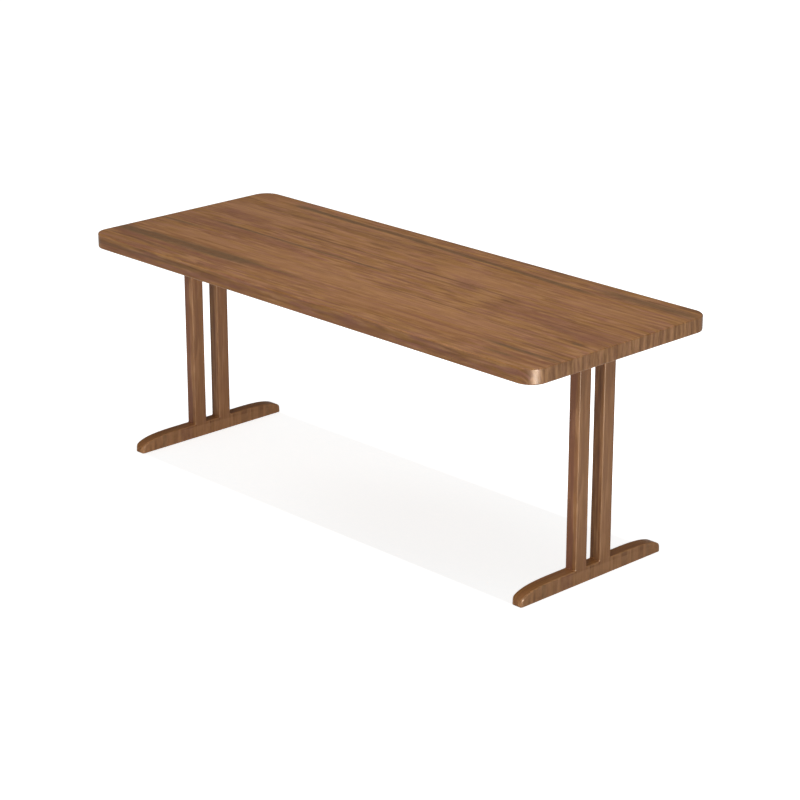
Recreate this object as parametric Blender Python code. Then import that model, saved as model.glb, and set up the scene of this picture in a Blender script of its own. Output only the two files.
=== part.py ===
"""A rectangular walnut desk: a rounded slab top on two trestles, tied by a rail under the top.

Each trestle is a curved foot, twin uprights and a bearer, joined by housed mortises and tenons.
The uprights swell into the foot and the bearer with a small cove, and all arrises mitre there.
The bearers and the rail are bolted up into threaded inserts in the underside of the top.

Metres, +Z up. +X runs along the length, -Y is the front, and the origin is on the floor at the middle.
"""

import math

import bmesh
import bpy
from mathutils import Matrix, Vector

# Overall sizes of the desk
DESK_LENGTH = 1.925
DESK_WIDTH = 0.745
DESK_HEIGHT = 0.740

# From each end of the top to the middle of its trestle
TRESTLE_INSET = 0.1125

# Tabletop
TOP_THICKNESS = 0.047
TOP_CORNER_RADIUS = 0.056
TOP_EDGE_ROUND = 0.0045

# Every bar of a trestle is planed to this thickness, and its arrises are eased
TRESTLE_THICKNESS = 0.040
ARRIS = 0.0035

# Foot, with a nose that curves down at each end and tips that are rounded in plan
FOOT_LENGTH = 0.598
FOOT_HEIGHT = 0.047
FOOT_NOSE_LENGTH = 0.170
FOOT_TIP_HEIGHT = 0.0095
FOOT_CORNER_RADIUS = 0.011
TIP_LAND = 0.0015

# Twin uprights
UPRIGHT_WIDTH = 0.047
UPRIGHT_GAP = 0.056
SHOULDER_COVE = 0.003

# Bearer that carries the top
BEARER_LENGTH = 0.520
BEARER_HEIGHT = 0.042
BEARER_NOSE_LENGTH = 0.120
BEARER_TIP_HEIGHT = 0.020

# Rail along the middle of the underside
RAIL_WIDTH = 0.030
RAIL_HEIGHT = 0.072
RAIL_NOSE_LENGTH = 0.110
RAIL_END_HEIGHT = 0.040

# Housed mortise and tenon at each end of an upright
HOUSING_DEPTH = 0.005
TENON_THICKNESS = 0.014
TENON_WIDTH = 0.034
TENON_LENGTH = 0.025
TENON_LEAD = 0.0015
MORTISE_SPARE = 0.0008

# Bolts that pull the bearers and the rail up to the top
BOLT_RADIUS = 0.004
BOLT_LENGTH = 0.045
BOLT_HEAD_RADIUS = 0.0065
BOLT_HEAD_HEIGHT = 0.008
BOLT_CHAMFER = 0.001
SOCKET_RADIUS = 0.00345
SOCKET_DEPTH = 0.004
BOLT_HOLE_RADIUS = 0.0045
BOLT_SEAT = 0.028
INNER_BOLT_OFFSET = 0.105
OUTER_BOLT_OFFSET = 0.200
SLOT_TRAVEL = 0.0035
RAIL_BOLT_SPACING = 0.550

# Wide washers lie in the bearers, narrow ones in the rail and at its ends
WIDE_WASHER_RADIUS = 0.012
WIDE_WASHER_THICKNESS = 0.002
WASHER_RADIUS = 0.008
WASHER_THICKNESS = 0.0016
COUNTERBORE_CLEARANCE = 0.0005

# Threaded inserts in the top
INSERT_RADIUS = 0.006
INSERT_LENGTH = 0.018
INSERT_FLANGE_RADIUS = 0.0078
INSERT_FLANGE_THICKNESS = 0.0014
INSERT_HOLE_SPARE = 0.003

# Bolt, cross nut and dowels that hold each end of the rail
END_BOLT_LENGTH = 0.085
END_BOLT_RECESS = 0.001
BARREL_NUT_RADIUS = 0.006
BARREL_NUT_LENGTH = 0.024
BARREL_NUT_INSET = 0.040
BARREL_SLOT_WIDTH = 0.0016
BARREL_SLOT_DEPTH = 0.0018
END_BOLT_SPARE = 0.004
DOWEL_RADIUS = 0.004
DOWEL_LENGTH = 0.038
DOWEL_DEPTH_IN_BEARER = 0.015
DOWEL_SPACING = 0.026
DOWEL_LEAD = 0.001

# Glides pushed into the underside of the feet
GLIDE_PROUD = 0.0005
GLIDE_RADIUS = 0.0125
GLIDE_HEIGHT = 0.0045
GLIDE_RIM_ROUND = 0.0012
GLIDE_STEM_RADIUS = 0.003
GLIDE_STEM_TIP_RADIUS = 0.0024
GLIDE_STEM_LENGTH = 0.014
GLIDE_INSET = 0.055

# Clearances and cutting allowances
FIT_GAP = 0.0003
OVERRUN = 0.012
WELD_DISTANCE = 0.000002

# Counts and the fullness of the nose curve, where 2 would be an ellipse
NOSE_FULLNESS = 2.7
NOSE_STEPS = 11
FOOT_CORNER_STEPS = 4
ARRIS_STEPS = 3
COVE_STEPS = 3
TOP_CORNER_STEPS = 10
TOP_EDGE_STEPS = 3
GLIDE_RIM_STEPS = 2
GLIDE_SIDES = 22
WASHER_SIDES = 16
BOLT_SIDES = 12
HIDDEN_SIDES = 10
HEXAGON_SIDES = 6

# Heights and places that follow from the sizes above
TOP_UNDERSIDE = DESK_HEIGHT - TOP_THICKNESS
FOOT_UNDERSIDE = GLIDE_PROUD
FOOT_TOP = FOOT_UNDERSIDE + FOOT_HEIGHT
BEARER_TOP = TOP_UNDERSIDE - FIT_GAP
BEARER_UNDERSIDE = BEARER_TOP - BEARER_HEIGHT
UPRIGHT_OFFSET = (UPRIGHT_GAP + UPRIGHT_WIDTH) / 2
SHOULDER_HALF_WIDTH = UPRIGHT_WIDTH / 2 + SHOULDER_COVE
TRESTLE_OFFSET = DESK_LENGTH / 2 - TRESTLE_INSET
RAIL_HALF_LENGTH = TRESTLE_OFFSET - TRESTLE_THICKNESS / 2 - FIT_GAP
BOLT_SEAT_HEIGHT = TOP_UNDERSIDE - BOLT_SEAT
END_BOLT_HEIGHT = BEARER_TOP - BEARER_HEIGHT / 2
END_BOLT_RECESS_DEPTH = BOLT_HEAD_HEIGHT + WASHER_THICKNESS + END_BOLT_RECESS

# Signs of the two ends of the desk, and of its front and back
ENDS = {"left": -1, "right": 1}
DEPTHS = {"front": -1, "back": 1}


def arc(centre, radius, start, end, steps):
    """Points of an arc in a plane, its angles in degrees, both ends included."""
    angles = [math.radians(start + (end - start) * i / steps) for i in range(steps + 1)]
    return [(centre[0] + radius * math.cos(a), centre[1] + radius * math.sin(a)) for a in angles]


def nose(half_length, height, nose_length, tip_height):
    """The curve from the tip of a bar back to its flat face, a quarter of a full ellipse."""
    power = 2 / NOSE_FULLNESS
    angles = [math.pi / 2 * i / NOSE_STEPS for i in range(NOSE_STEPS + 1)]
    return [
        (
            half_length - nose_length + nose_length * max(math.cos(a), 0) ** power,
            tip_height + (height - tip_height) * math.sin(a) ** power,
        )
        for a in angles
    ]


def extruded(outline, thickness, axis):
    """A bmesh prism of a closed outline, centred on the plane that the axis crosses."""
    shape = bmesh.new()
    place = {
        "X": lambda a, b, c: (c, a, b),
        "Y": lambda a, b, c: (a, c, b),
        "Z": lambda a, b, c: (a, b, c),
    }[axis]
    corners = [shape.verts.new(place(a, b, -thickness / 2)) for a, b in outline]
    face = shape.faces.new(corners)
    grown = bmesh.ops.extrude_face_region(shape, geom=[face])
    far_corners = [item for item in grown["geom"] if isinstance(item, bmesh.types.BMVert)]
    bmesh.ops.translate(shape, verts=far_corners, vec=place(0, 0, thickness))
    bmesh.ops.recalc_face_normals(shape, faces=shape.faces)
    return shape


def eased(shape, axis, width, steps, stays_crisp=lambda middle: False):
    """Rounds the arrises round both faces that the axis crosses, except the crisp ones."""
    number = "XYZ".index(axis)
    highest = max(vert.co[number] for vert in shape.verts)
    lowest = min(vert.co[number] for vert in shape.verts)
    centre = (highest + lowest) / 2
    chosen = []
    for edge in shape.edges:
        start, end = (vert.co[number] - centre for vert in edge.verts)
        middle = (edge.verts[0].co + edge.verts[1].co) / 2
        if start * end > 0 and not stays_crisp(middle):
            chosen.append(edge)
    bmesh.ops.bevel(
        shape, geom=chosen, offset=width, segments=steps, profile=0.5, affect="EDGES", clamp_overlap=False
    )
    return shape


def rounded_in_plan(shape, half_length, half_width, radius, steps):
    """Rounds the upright corners of a bar along Y: cut across near its tips, each cut drawn in."""
    straight = half_length - radius
    for step in range(steps):
        cut = straight + radius * math.sin(math.pi / 2 * step / steps)
        for side in (-cut, cut):
            whole = shape.verts[:] + shape.edges[:] + shape.faces[:]
            bmesh.ops.bisect_plane(
                shape, geom=whole, dist=WELD_DISTANCE, plane_co=(0, side, 0), plane_no=(0, 1, 0)
            )
    for vert in shape.verts:
        beyond = abs(vert.co.y) - straight
        if beyond > 0:
            drawn_in = radius - math.sqrt(max(radius**2 - beyond**2, 0))
            vert.co.x *= 1 - drawn_in / half_width
    return shape


def box(low, high):
    """A bmesh box between two corners."""
    shape = bmesh.new()
    bmesh.ops.create_cube(shape, size=1)
    size = Vector(high) - Vector(low)
    middle = (Vector(high) + Vector(low)) / 2
    bmesh.ops.scale(shape, vec=size, verts=shape.verts)
    bmesh.ops.translate(shape, vec=middle, verts=shape.verts)
    return shape


def turned(profile, sides):
    """A bmesh solid turned round Z from a closed profile of radius and height."""
    shape = bmesh.new()
    corners = [shape.verts.new((radius, 0, height)) for radius, height in profile]
    loop = [shape.edges.new((a, b)) for a, b in zip(corners, corners[1:] + corners[:1])]
    geometry = corners + loop
    bmesh.ops.spin(
        shape, geom=geometry, cent=(0, 0, 0), axis=(0, 0, 1), angle=math.tau, steps=sides, use_merge=True
    )
    bmesh.ops.remove_doubles(shape, verts=shape.verts, dist=WELD_DISTANCE)
    stray = [edge for edge in shape.edges if len(edge.link_faces) != 2]
    bmesh.ops.delete(shape, geom=stray, context="EDGES")
    bmesh.ops.recalc_face_normals(shape, faces=shape.faces)
    return shape


def rod(radius, low, high, sides):
    """A plain round rod along Z."""
    return turned([(0, low), (radius, low), (radius, high), (0, high)], sides)


def stepped_bore(wide, narrow, travel, low, seat, high):
    """A counterbored hole along Z, drawn out along Y into a slot that lets a bolt travel."""
    half = BOLT_SIDES // 2
    shape = bmesh.new()
    rings = []
    for radius, height in ((wide, low), (wide, seat), (narrow, seat), (narrow, high)):
        outline = arc((0, travel), radius, 0, 180, half) + arc((0, -travel), radius, 180, 360, half)
        rings.append([shape.verts.new((x, y, height)) for x, y in outline])
    for lower, upper in zip(rings, rings[1:]):
        for i, corner in enumerate(lower):
            following = (i + 1) % len(lower)
            shape.faces.new((corner, lower[following], upper[following], upper[i]))
    shape.faces.new(reversed(rings[0]))
    shape.faces.new(rings[-1])
    bmesh.ops.remove_doubles(shape, verts=shape.verts, dist=WELD_DISTANCE)
    bmesh.ops.recalc_face_normals(shape, faces=shape.faces)
    return shape


def moved(shape, place, turn=None):
    """The same bmesh, turned by a matrix and then set at a place."""
    if turn:
        bmesh.ops.transform(shape, matrix=turn, verts=shape.verts)
    bmesh.ops.translate(shape, verts=shape.verts, vec=place)
    return shape


def gathered(shapes):
    """One bmesh that holds several separate cutters."""
    whole = bmesh.new()
    for shape in shapes:
        part = bmesh_to_mesh(shape, "part")
        whole.from_mesh(part)
        bpy.data.meshes.remove(part)
    return whole


def bmesh_to_mesh(shape, name):
    """The shape written into a new mesh, and its memory freed."""
    mesh = bpy.data.meshes.new(name)
    shape.to_mesh(mesh)
    shape.free()
    return mesh


def finished(shape, name, cuts=(), unions=(), keeps=()):
    """The mesh of a piece after its kept region, unions and cuts, shaded smooth on round faces."""
    piece = bpy.data.objects.new(name, bmesh_to_mesh(shape, name))
    bpy.context.collection.objects.link(piece)
    tools = []
    for operation, group in (("INTERSECT", keeps), ("UNION", unions), ("DIFFERENCE", cuts)):
        for tool_shape in group:
            tool = bpy.data.objects.new("tool", bmesh_to_mesh(tool_shape, "tool"))
            bpy.context.collection.objects.link(tool)
            tools.append(tool)
            step = piece.modifiers.new(operation.lower(), "BOOLEAN")
            step.operation = operation
            step.solver = "EXACT"
            step.object = tool
    graph = bpy.context.evaluated_depsgraph_get()
    result = bmesh.new()
    result.from_mesh(piece.evaluated_get(graph).to_mesh())
    bmesh.ops.remove_doubles(result, verts=result.verts, dist=WELD_DISTANCE)
    mesh = bmesh_to_mesh(result, name)
    mesh.shade_smooth()
    mesh.set_sharp_from_angle(angle=math.radians(30))
    for spent in [piece] + tools:
        old = spent.data
        bpy.data.objects.remove(spent)
        bpy.data.meshes.remove(old)
    return mesh


def finish(name, colour, roughness, metallic):
    """A plain material with the colour and gloss of a piece."""
    material = bpy.data.materials.new(name)
    material.use_nodes = True
    shader = material.node_tree.nodes["Principled BSDF"]
    shader.inputs["Base Color"].default_value = (*colour, 1)
    shader.inputs["Roughness"].default_value = roughness
    shader.inputs["Metallic"].default_value = metallic
    material.diffuse_color = (*colour, 1)
    return material


def place(name, mesh, material, location=(0, 0, 0), parent=None, turn=(0, 0, 0)):
    """One named sub-part at its place."""
    piece = bpy.data.objects.new(name, mesh)
    bpy.context.collection.objects.link(piece)
    if not mesh.materials:
        mesh.materials.append(material)
    piece.parent = parent
    piece.location = location
    piece.rotation_euler = turn
    return piece


def guide(name, location, turn):
    """An empty that carries the pieces of one trestle."""
    empty = bpy.data.objects.new(name, None)
    bpy.context.collection.objects.link(empty)
    empty.location = location
    empty.rotation_euler = turn
    return empty


def bolt_offsets():
    """Where the bolts stand along a bearer, from front to back."""
    return [-OUTER_BOLT_OFFSET, -INNER_BOLT_OFFSET, INNER_BOLT_OFFSET, OUTER_BOLT_OFFSET]


def slot_travel(offset):
    """How far a bolt may travel: the outer holes are slots, so the top can shrink and swell."""
    return SLOT_TRAVEL if abs(offset) == OUTER_BOLT_OFFSET else 0


def tabletop_mesh(insert_places):
    """A slab with round corners in plan and eased rims, bored from below for the inserts."""
    half_x, half_y = DESK_LENGTH / 2 - TOP_CORNER_RADIUS, DESK_WIDTH / 2 - TOP_CORNER_RADIUS
    centres = [(half_x, half_y), (-half_x, half_y), (-half_x, -half_y), (half_x, -half_y)]
    outline = []
    for number, centre in enumerate(centres):
        outline += arc(centre, TOP_CORNER_RADIUS, 90 * number, 90 * number + 90, TOP_CORNER_STEPS)
    slab = eased(extruded(outline, TOP_THICKNESS, "Z"), "Z", TOP_EDGE_ROUND, TOP_EDGE_STEPS)
    moved(slab, (0, 0, TOP_UNDERSIDE + TOP_THICKNESS / 2))
    bore = INSERT_RADIUS + FIT_GAP
    recess = INSERT_FLANGE_RADIUS + FIT_GAP
    recess_depth = INSERT_FLANGE_THICKNESS + FIT_GAP
    profile = [
        (0, -OVERRUN),
        (recess, -OVERRUN),
        (recess, recess_depth),
        (bore, recess_depth),
        (bore, INSERT_LENGTH + INSERT_HOLE_SPARE),
        (0, INSERT_LENGTH + INSERT_HOLE_SPARE),
    ]
    bores = gathered(moved(turned(profile, HIDDEN_SIDES), (x, y, TOP_UNDERSIDE)) for x, y in insert_places)
    return finished(slab, "tabletop", cuts=[bores])


def bar_outline(half_length, height, nose_length, tip_height, corner):
    """A bar seen from its side: flat below, with a nose at each end."""
    right = nose(half_length, height, nose_length, tip_height)
    if corner:
        right = arc((half_length - corner, corner), corner, -90, 0, ARRIS_STEPS) + right
    else:
        right = [(half_length, 0)] + right
    left = [(-a, b) for a, b in reversed(right)]
    return right + left


def housings(height):
    """The shallow seats, across the whole bar, that the shoulders of the uprights drop into."""
    wide = TRESTLE_THICKNESS / 2 + OVERRUN
    return gathered(
        box(
            (-wide, side * UPRIGHT_OFFSET - SHOULDER_HALF_WIDTH, height - HOUSING_DEPTH),
            (wide, side * UPRIGHT_OFFSET + SHOULDER_HALF_WIDTH, height + OVERRUN),
        )
        for side in DEPTHS.values()
    )


def mortises(height):
    """The blind slots below the housings."""
    half_x = TENON_THICKNESS / 2 + FIT_GAP
    half_y = TENON_WIDTH / 2 + FIT_GAP
    depth = HOUSING_DEPTH + TENON_LENGTH + MORTISE_SPARE
    return gathered(
        box(
            (-half_x, side * UPRIGHT_OFFSET - half_y, height - depth),
            (half_x, side * UPRIGHT_OFFSET + half_y, height + OVERRUN),
        )
        for side in DEPTHS.values()
    )


def glide_offset():
    """How far each glide stands from the middle of its foot."""
    return FOOT_LENGTH / 2 - GLIDE_INSET


def foot_mesh():
    """The foot, standing on its glides: flat below, round at its tips, its arrises cut by the housings."""
    outline = bar_outline(
        FOOT_LENGTH / 2, FOOT_HEIGHT, FOOT_NOSE_LENGTH, FOOT_TIP_HEIGHT, ARRIS + TIP_LAND
    )
    bar = eased(extruded(outline, TRESTLE_THICKNESS, "X"), "X", ARRIS, ARRIS_STEPS)
    rounded_in_plan(bar, FOOT_LENGTH / 2, TRESTLE_THICKNESS / 2, FOOT_CORNER_RADIUS, FOOT_CORNER_STEPS)
    moved(bar, (0, 0, FOOT_UNDERSIDE))
    recess = GLIDE_RADIUS + COUNTERBORE_CLEARANCE
    recess_depth = GLIDE_HEIGHT - GLIDE_PROUD + FIT_GAP
    stem = GLIDE_STEM_RADIUS + FIT_GAP
    stem_depth = recess_depth + GLIDE_STEM_LENGTH + MORTISE_SPARE
    profile = [
        (0, -OVERRUN),
        (recess, -OVERRUN),
        (recess, recess_depth),
        (stem, recess_depth),
        (stem, stem_depth),
        (0, stem_depth),
    ]
    seats = gathered(
        moved(turned(profile, GLIDE_SIDES), (0, side * glide_offset(), FOOT_UNDERSIDE))
        for side in DEPTHS.values()
    )
    return finished(bar, "foot", cuts=[housings(FOOT_TOP), mortises(FOOT_TOP), seats])


def upright_mesh():
    """One upright, centred in plan: coved shoulders let into the bars, and a tenon beyond each.

    The blank runs on past its shoulders along the faces of the foot and the bearer, so that its
    arrises turn the corner there, and is then cut back to what drops into the housings.
    """
    low, high = FOOT_TOP, BEARER_UNDERSIDE
    wide = SHOULDER_HALF_WIDTH + OVERRUN
    lower_cove = arc((SHOULDER_HALF_WIDTH, low + SHOULDER_COVE), SHOULDER_COVE, 270, 180, COVE_STEPS)
    upper_cove = arc((SHOULDER_HALF_WIDTH, high - SHOULDER_COVE), SHOULDER_COVE, 180, 90, COVE_STEPS)
    blank_half = [(wide, low - OVERRUN), (wide, low)] + lower_cove
    blank_half += upper_cove + [(wide, high), (wide, high + OVERRUN)]
    blank = extruded(blank_half + [(-y, z) for y, z in reversed(blank_half)], TRESTLE_THICKNESS, "X")
    eased(blank, "X", ARRIS, ARRIS_STEPS)
    let_in = HOUSING_DEPTH - FIT_GAP
    keep_half_x = TRESTLE_THICKNESS / 2 + OVERRUN
    keep_half_y = SHOULDER_HALF_WIDTH - FIT_GAP
    keep = box((-keep_half_x, -keep_half_y, low - let_in), (keep_half_x, keep_half_y, high + let_in))
    reach = HOUSING_DEPTH + TENON_LENGTH
    end_half = TENON_WIDTH / 2
    tenon_half = [
        (end_half - TENON_LEAD, low - reach),
        (end_half, low - reach + TENON_LEAD),
        (end_half, high + reach - TENON_LEAD),
        (end_half - TENON_LEAD, high + reach),
    ]
    tenon = extruded(tenon_half + [(-y, z) for y, z in reversed(tenon_half)], TENON_THICKNESS, "X")
    return finished(blank, "upright", keeps=[keep], unions=[tenon])


def bearer_mesh():
    """The bearer: the foot's form upside down, bored for the top bolts and for the end of the rail."""
    outline = bar_outline(BEARER_LENGTH / 2, BEARER_HEIGHT, BEARER_NOSE_LENGTH, BEARER_TIP_HEIGHT, 0)
    bar = extruded(outline, TRESTLE_THICKNESS, "X")
    eased(bar, "X", ARRIS, ARRIS_STEPS, stays_crisp=lambda middle: middle.z < WELD_DISTANCE)
    upside_down = Matrix.Rotation(math.pi, 4, "Y")
    seats = moved(housings(BEARER_HEIGHT), (0, 0, BEARER_TOP), upside_down)
    slots = moved(mortises(BEARER_HEIGHT), (0, 0, BEARER_TOP), upside_down)
    moved(bar, (0, 0, BEARER_TOP), upside_down)
    below = BEARER_UNDERSIDE - OVERRUN
    above = BEARER_TOP + OVERRUN
    recess = WIDE_WASHER_RADIUS + COUNTERBORE_CLEARANCE
    hole = BOLT_HOLE_RADIUS
    bores = gathered(
        moved(stepped_bore(recess, hole, slot_travel(y), below, BOLT_SEAT_HEIGHT, above), (0, y, 0))
        for y in bolt_offsets()
    )
    half = TRESTLE_THICKNESS / 2
    across = Matrix.Rotation(math.pi / 2, 4, "Y")
    head = WASHER_RADIUS + COUNTERBORE_CLEARANCE
    seat = half - END_BOLT_RECESS_DEPTH
    end_bore = moved(
        stepped_bore(head, BOLT_HOLE_RADIUS, 0, -half - OVERRUN, -seat, half + OVERRUN),
        (0, 0, END_BOLT_HEIGHT),
        Matrix.Rotation(-math.pi / 2, 4, "Y"),
    )
    dowel_bore = DOWEL_RADIUS + FIT_GAP
    dowel_depth = DOWEL_DEPTH_IN_BEARER + FIT_GAP
    dowels = gathered(
        moved(
            rod(dowel_bore, -half - OVERRUN, -half + dowel_depth, HIDDEN_SIDES),
            (0, 0, END_BOLT_HEIGHT + offset),
            across,
        )
        for offset in (-DOWEL_SPACING / 2, DOWEL_SPACING / 2)
    )
    cuts = [seats, slots, bores, end_bore, dowels]
    return finished(bar, "bearer", cuts=cuts)


def rail_mesh():
    """The rail under the middle of the top, its lower edge curving up to meet the bearers."""
    outline = bar_outline(RAIL_HALF_LENGTH, RAIL_HEIGHT, RAIL_NOSE_LENGTH, RAIL_END_HEIGHT, 0)
    bar = extruded(outline, RAIL_WIDTH, "Y")
    end_line = RAIL_HALF_LENGTH - WELD_DISTANCE
    eased(
        bar,
        "Y",
        ARRIS,
        ARRIS_STEPS,
        stays_crisp=lambda middle: middle.z < WELD_DISTANCE or abs(middle.x) > end_line,
    )
    moved(bar, (0, 0, BEARER_TOP), Matrix.Rotation(math.pi, 4, "X"))
    below = BEARER_TOP - RAIL_HEIGHT - OVERRUN
    above = BEARER_TOP + OVERRUN
    recess = WASHER_RADIUS + COUNTERBORE_CLEARANCE
    bores = gathered(
        moved(stepped_bore(recess, BOLT_HOLE_RADIUS, 0, below, BOLT_SEAT_HEIGHT, above), (x, 0, 0))
        for x in rail_bolt_places()
    )
    across = Matrix.Rotation(math.pi / 2, 4, "Y")
    from_end = BARREL_NUT_INSET + BARREL_NUT_RADIUS
    bolt_depth = max(from_end, END_BOLT_LENGTH - TRESTLE_THICKNESS + END_BOLT_RECESS_DEPTH) + END_BOLT_SPARE
    dowel_depth = DOWEL_LENGTH - DOWEL_DEPTH_IN_BEARER + FIT_GAP
    end_bores = []
    nut_bores = []
    for sign in ENDS.values():
        drills = [(BOLT_HOLE_RADIUS, bolt_depth, 0)]
        for offset in (-DOWEL_SPACING / 2, DOWEL_SPACING / 2):
            drills.append((DOWEL_RADIUS + FIT_GAP, dowel_depth, offset))
        for radius, depth, offset in drills:
            inner = RAIL_HALF_LENGTH - depth
            outer = RAIL_HALF_LENGTH + OVERRUN
            low, high = sorted((sign * inner, sign * outer))
            drilled = rod(radius, low, high, HIDDEN_SIDES)
            end_bores.append(moved(drilled, (0, 0, END_BOLT_HEIGHT + offset), across))
        nut_bore = rod(
            BARREL_NUT_RADIUS + FIT_GAP,
            -BARREL_NUT_LENGTH / 2 - FIT_GAP,
            RAIL_WIDTH / 2 + OVERRUN,
            BOLT_SIDES,
        )
        turn = Matrix.Rotation(-math.pi / 2, 4, "X")
        nut_bores.append(moved(nut_bore, (sign * barrel_nut_place(), 0, END_BOLT_HEIGHT), turn))
    return finished(bar, "rail", cuts=[bores, gathered(end_bores), gathered(nut_bores)])


def rail_bolt_places():
    """Where the bolts stand along the rail."""
    return [-RAIL_BOLT_SPACING, 0, RAIL_BOLT_SPACING]


def barrel_nut_place():
    """How far each cross nut lies from the middle of the desk."""
    return RAIL_HALF_LENGTH - BARREL_NUT_INSET


def bolt_mesh(name, length):
    """A socket-head bolt: the shank rises from the bearing face of the head, which is at zero."""
    profile = [
        (0, -BOLT_HEAD_HEIGHT),
        (BOLT_HEAD_RADIUS - BOLT_CHAMFER, -BOLT_HEAD_HEIGHT),
        (BOLT_HEAD_RADIUS, -BOLT_HEAD_HEIGHT + BOLT_CHAMFER),
        (BOLT_HEAD_RADIUS, 0),
        (BOLT_RADIUS, 0),
        (BOLT_RADIUS, length - BOLT_CHAMFER),
        (BOLT_RADIUS - BOLT_CHAMFER, length),
        (0, length),
    ]
    floor = -BOLT_HEAD_HEIGHT + SOCKET_DEPTH
    hexagon = rod(SOCKET_RADIUS, -BOLT_HEAD_HEIGHT - OVERRUN, floor, HEXAGON_SIDES)
    return finished(turned(profile, BOLT_SIDES), name, cuts=[hexagon])


def washer_mesh(name, radius, thickness):
    """A flat ring whose lower face is at zero."""
    hole = BOLT_RADIUS + FIT_GAP
    profile = [(hole, 0), (radius, 0), (radius, thickness), (hole, thickness)]
    return finished(turned(profile, WASHER_SIDES), name)


def insert_mesh():
    """A threaded sleeve with a thin flange, set flush with the underside of the top."""
    hole = BOLT_RADIUS + FIT_GAP
    profile = [
        (hole, 0),
        (INSERT_FLANGE_RADIUS, 0),
        (INSERT_FLANGE_RADIUS, INSERT_FLANGE_THICKNESS),
        (INSERT_RADIUS, INSERT_FLANGE_THICKNESS),
        (INSERT_RADIUS, INSERT_LENGTH),
        (hole, INSERT_LENGTH),
    ]
    return finished(turned(profile, HIDDEN_SIDES), "insert")


def barrel_nut_mesh():
    """A short cylinder along Z, crossed by the bolt's hole, with a driver slot in one end."""
    half = BARREL_NUT_LENGTH / 2
    across = Matrix.Rotation(math.pi / 2, 4, "Y")
    reach = BARREL_NUT_RADIUS + OVERRUN
    hole = moved(rod(BOLT_RADIUS + FIT_GAP, -reach, reach, HIDDEN_SIDES), (0, 0, 0), across)
    groove = box(
        (-reach, -BARREL_SLOT_WIDTH / 2, half - BARREL_SLOT_DEPTH),
        (reach, BARREL_SLOT_WIDTH / 2, half + OVERRUN),
    )
    return finished(rod(BARREL_NUT_RADIUS, -half, half, BOLT_SIDES), "barrel_nut", cuts=[hole, groove])


def dowel_mesh():
    """A round dowel along Z with tapered ends."""
    half = DOWEL_LENGTH / 2
    profile = [
        (0, -half),
        (DOWEL_RADIUS - DOWEL_LEAD, -half),
        (DOWEL_RADIUS, -half + DOWEL_LEAD),
        (DOWEL_RADIUS, half - DOWEL_LEAD),
        (DOWEL_RADIUS - DOWEL_LEAD, half),
        (0, half),
    ]
    return finished(turned(profile, HIDDEN_SIDES), "dowel")


def glide_mesh():
    """A round pad with a softened lower rim and a tapered stem, standing on the floor at zero."""
    rim = arc((GLIDE_RADIUS - GLIDE_RIM_ROUND, GLIDE_RIM_ROUND), GLIDE_RIM_ROUND, -90, 0, GLIDE_RIM_STEPS)
    profile = [(0, 0)] + rim + [
        (GLIDE_RADIUS, GLIDE_HEIGHT),
        (GLIDE_STEM_RADIUS, GLIDE_HEIGHT),
        (GLIDE_STEM_TIP_RADIUS, GLIDE_HEIGHT + GLIDE_STEM_LENGTH),
        (0, GLIDE_HEIGHT + GLIDE_STEM_LENGTH),
    ]
    return finished(turned(profile, GLIDE_SIDES), "glide")


def build_trestles(walnut, steel, nylon, beech):
    """Both trestles with the hardware in them; the left one is the right one turned half round."""
    foot = foot_mesh()
    upright = upright_mesh()
    bearer = bearer_mesh()
    bolt = bolt_mesh("top_bolt", BOLT_LENGTH)
    wide_washer = washer_mesh("wide_washer", WIDE_WASHER_RADIUS, WIDE_WASHER_THICKNESS)
    end_bolt = bolt_mesh("end_bolt", END_BOLT_LENGTH)
    end_washer = washer_mesh("washer", WASHER_RADIUS, WASHER_THICKNESS)
    barrel_nut = barrel_nut_mesh()
    dowel = dowel_mesh()
    glide = glide_mesh()
    washer_height = BOLT_SEAT_HEIGHT - FIT_GAP - WIDE_WASHER_THICKNESS
    end_seat = TRESTLE_THICKNESS / 2 - END_BOLT_RECESS_DEPTH
    washer_face = end_seat + FIT_GAP + WASHER_THICKNESS
    inward = (0, -math.pi / 2, 0)
    rail_end = -TRESTLE_THICKNESS / 2 - FIT_GAP
    dowel_middle = -TRESTLE_THICKNESS / 2 + DOWEL_DEPTH_IN_BEARER - DOWEL_LENGTH / 2
    for end, sign in ENDS.items():
        turn = (0, 0, 0 if sign > 0 else math.pi)
        trestle = guide(end + "_trestle", (sign * TRESTLE_OFFSET, 0, 0), turn)
        place(end + "_foot", foot, walnut, parent=trestle)
        place(end + "_bearer", bearer, walnut, parent=trestle)
        for depth, side in DEPTHS.items():
            y = sign * side * UPRIGHT_OFFSET
            place(f"{end}_{depth}_upright", upright, walnut, (0, y, 0), trestle)
            place(f"{end}_{depth}_glide", glide, nylon, (0, sign * side * glide_offset(), 0), trestle)
        for number, y in enumerate(bolt_offsets(), start=1):
            place(f"{end}_top_washer_{number}", wide_washer, steel, (0, sign * y, washer_height), trestle)
            place(f"{end}_top_bolt_{number}", bolt, steel, (0, sign * y, washer_height - FIT_GAP), trestle)
        place(f"{end}_end_washer", end_washer, steel, (washer_face, 0, END_BOLT_HEIGHT), trestle, inward)
        head_place = (washer_face + FIT_GAP, 0, END_BOLT_HEIGHT)
        place(f"{end}_end_bolt", end_bolt, steel, head_place, trestle, inward)
        nut_place = (rail_end - BARREL_NUT_INSET, 0, END_BOLT_HEIGHT)
        place(f"{end}_barrel_nut", barrel_nut, steel, nut_place, trestle, (-sign * math.pi / 2, 0, 0))
        for level, offset in (("lower", -DOWEL_SPACING / 2), ("upper", DOWEL_SPACING / 2)):
            spot = (dowel_middle, 0, END_BOLT_HEIGHT + offset)
            place(f"{end}_{level}_dowel", dowel, beech, spot, trestle, inward)


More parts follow.
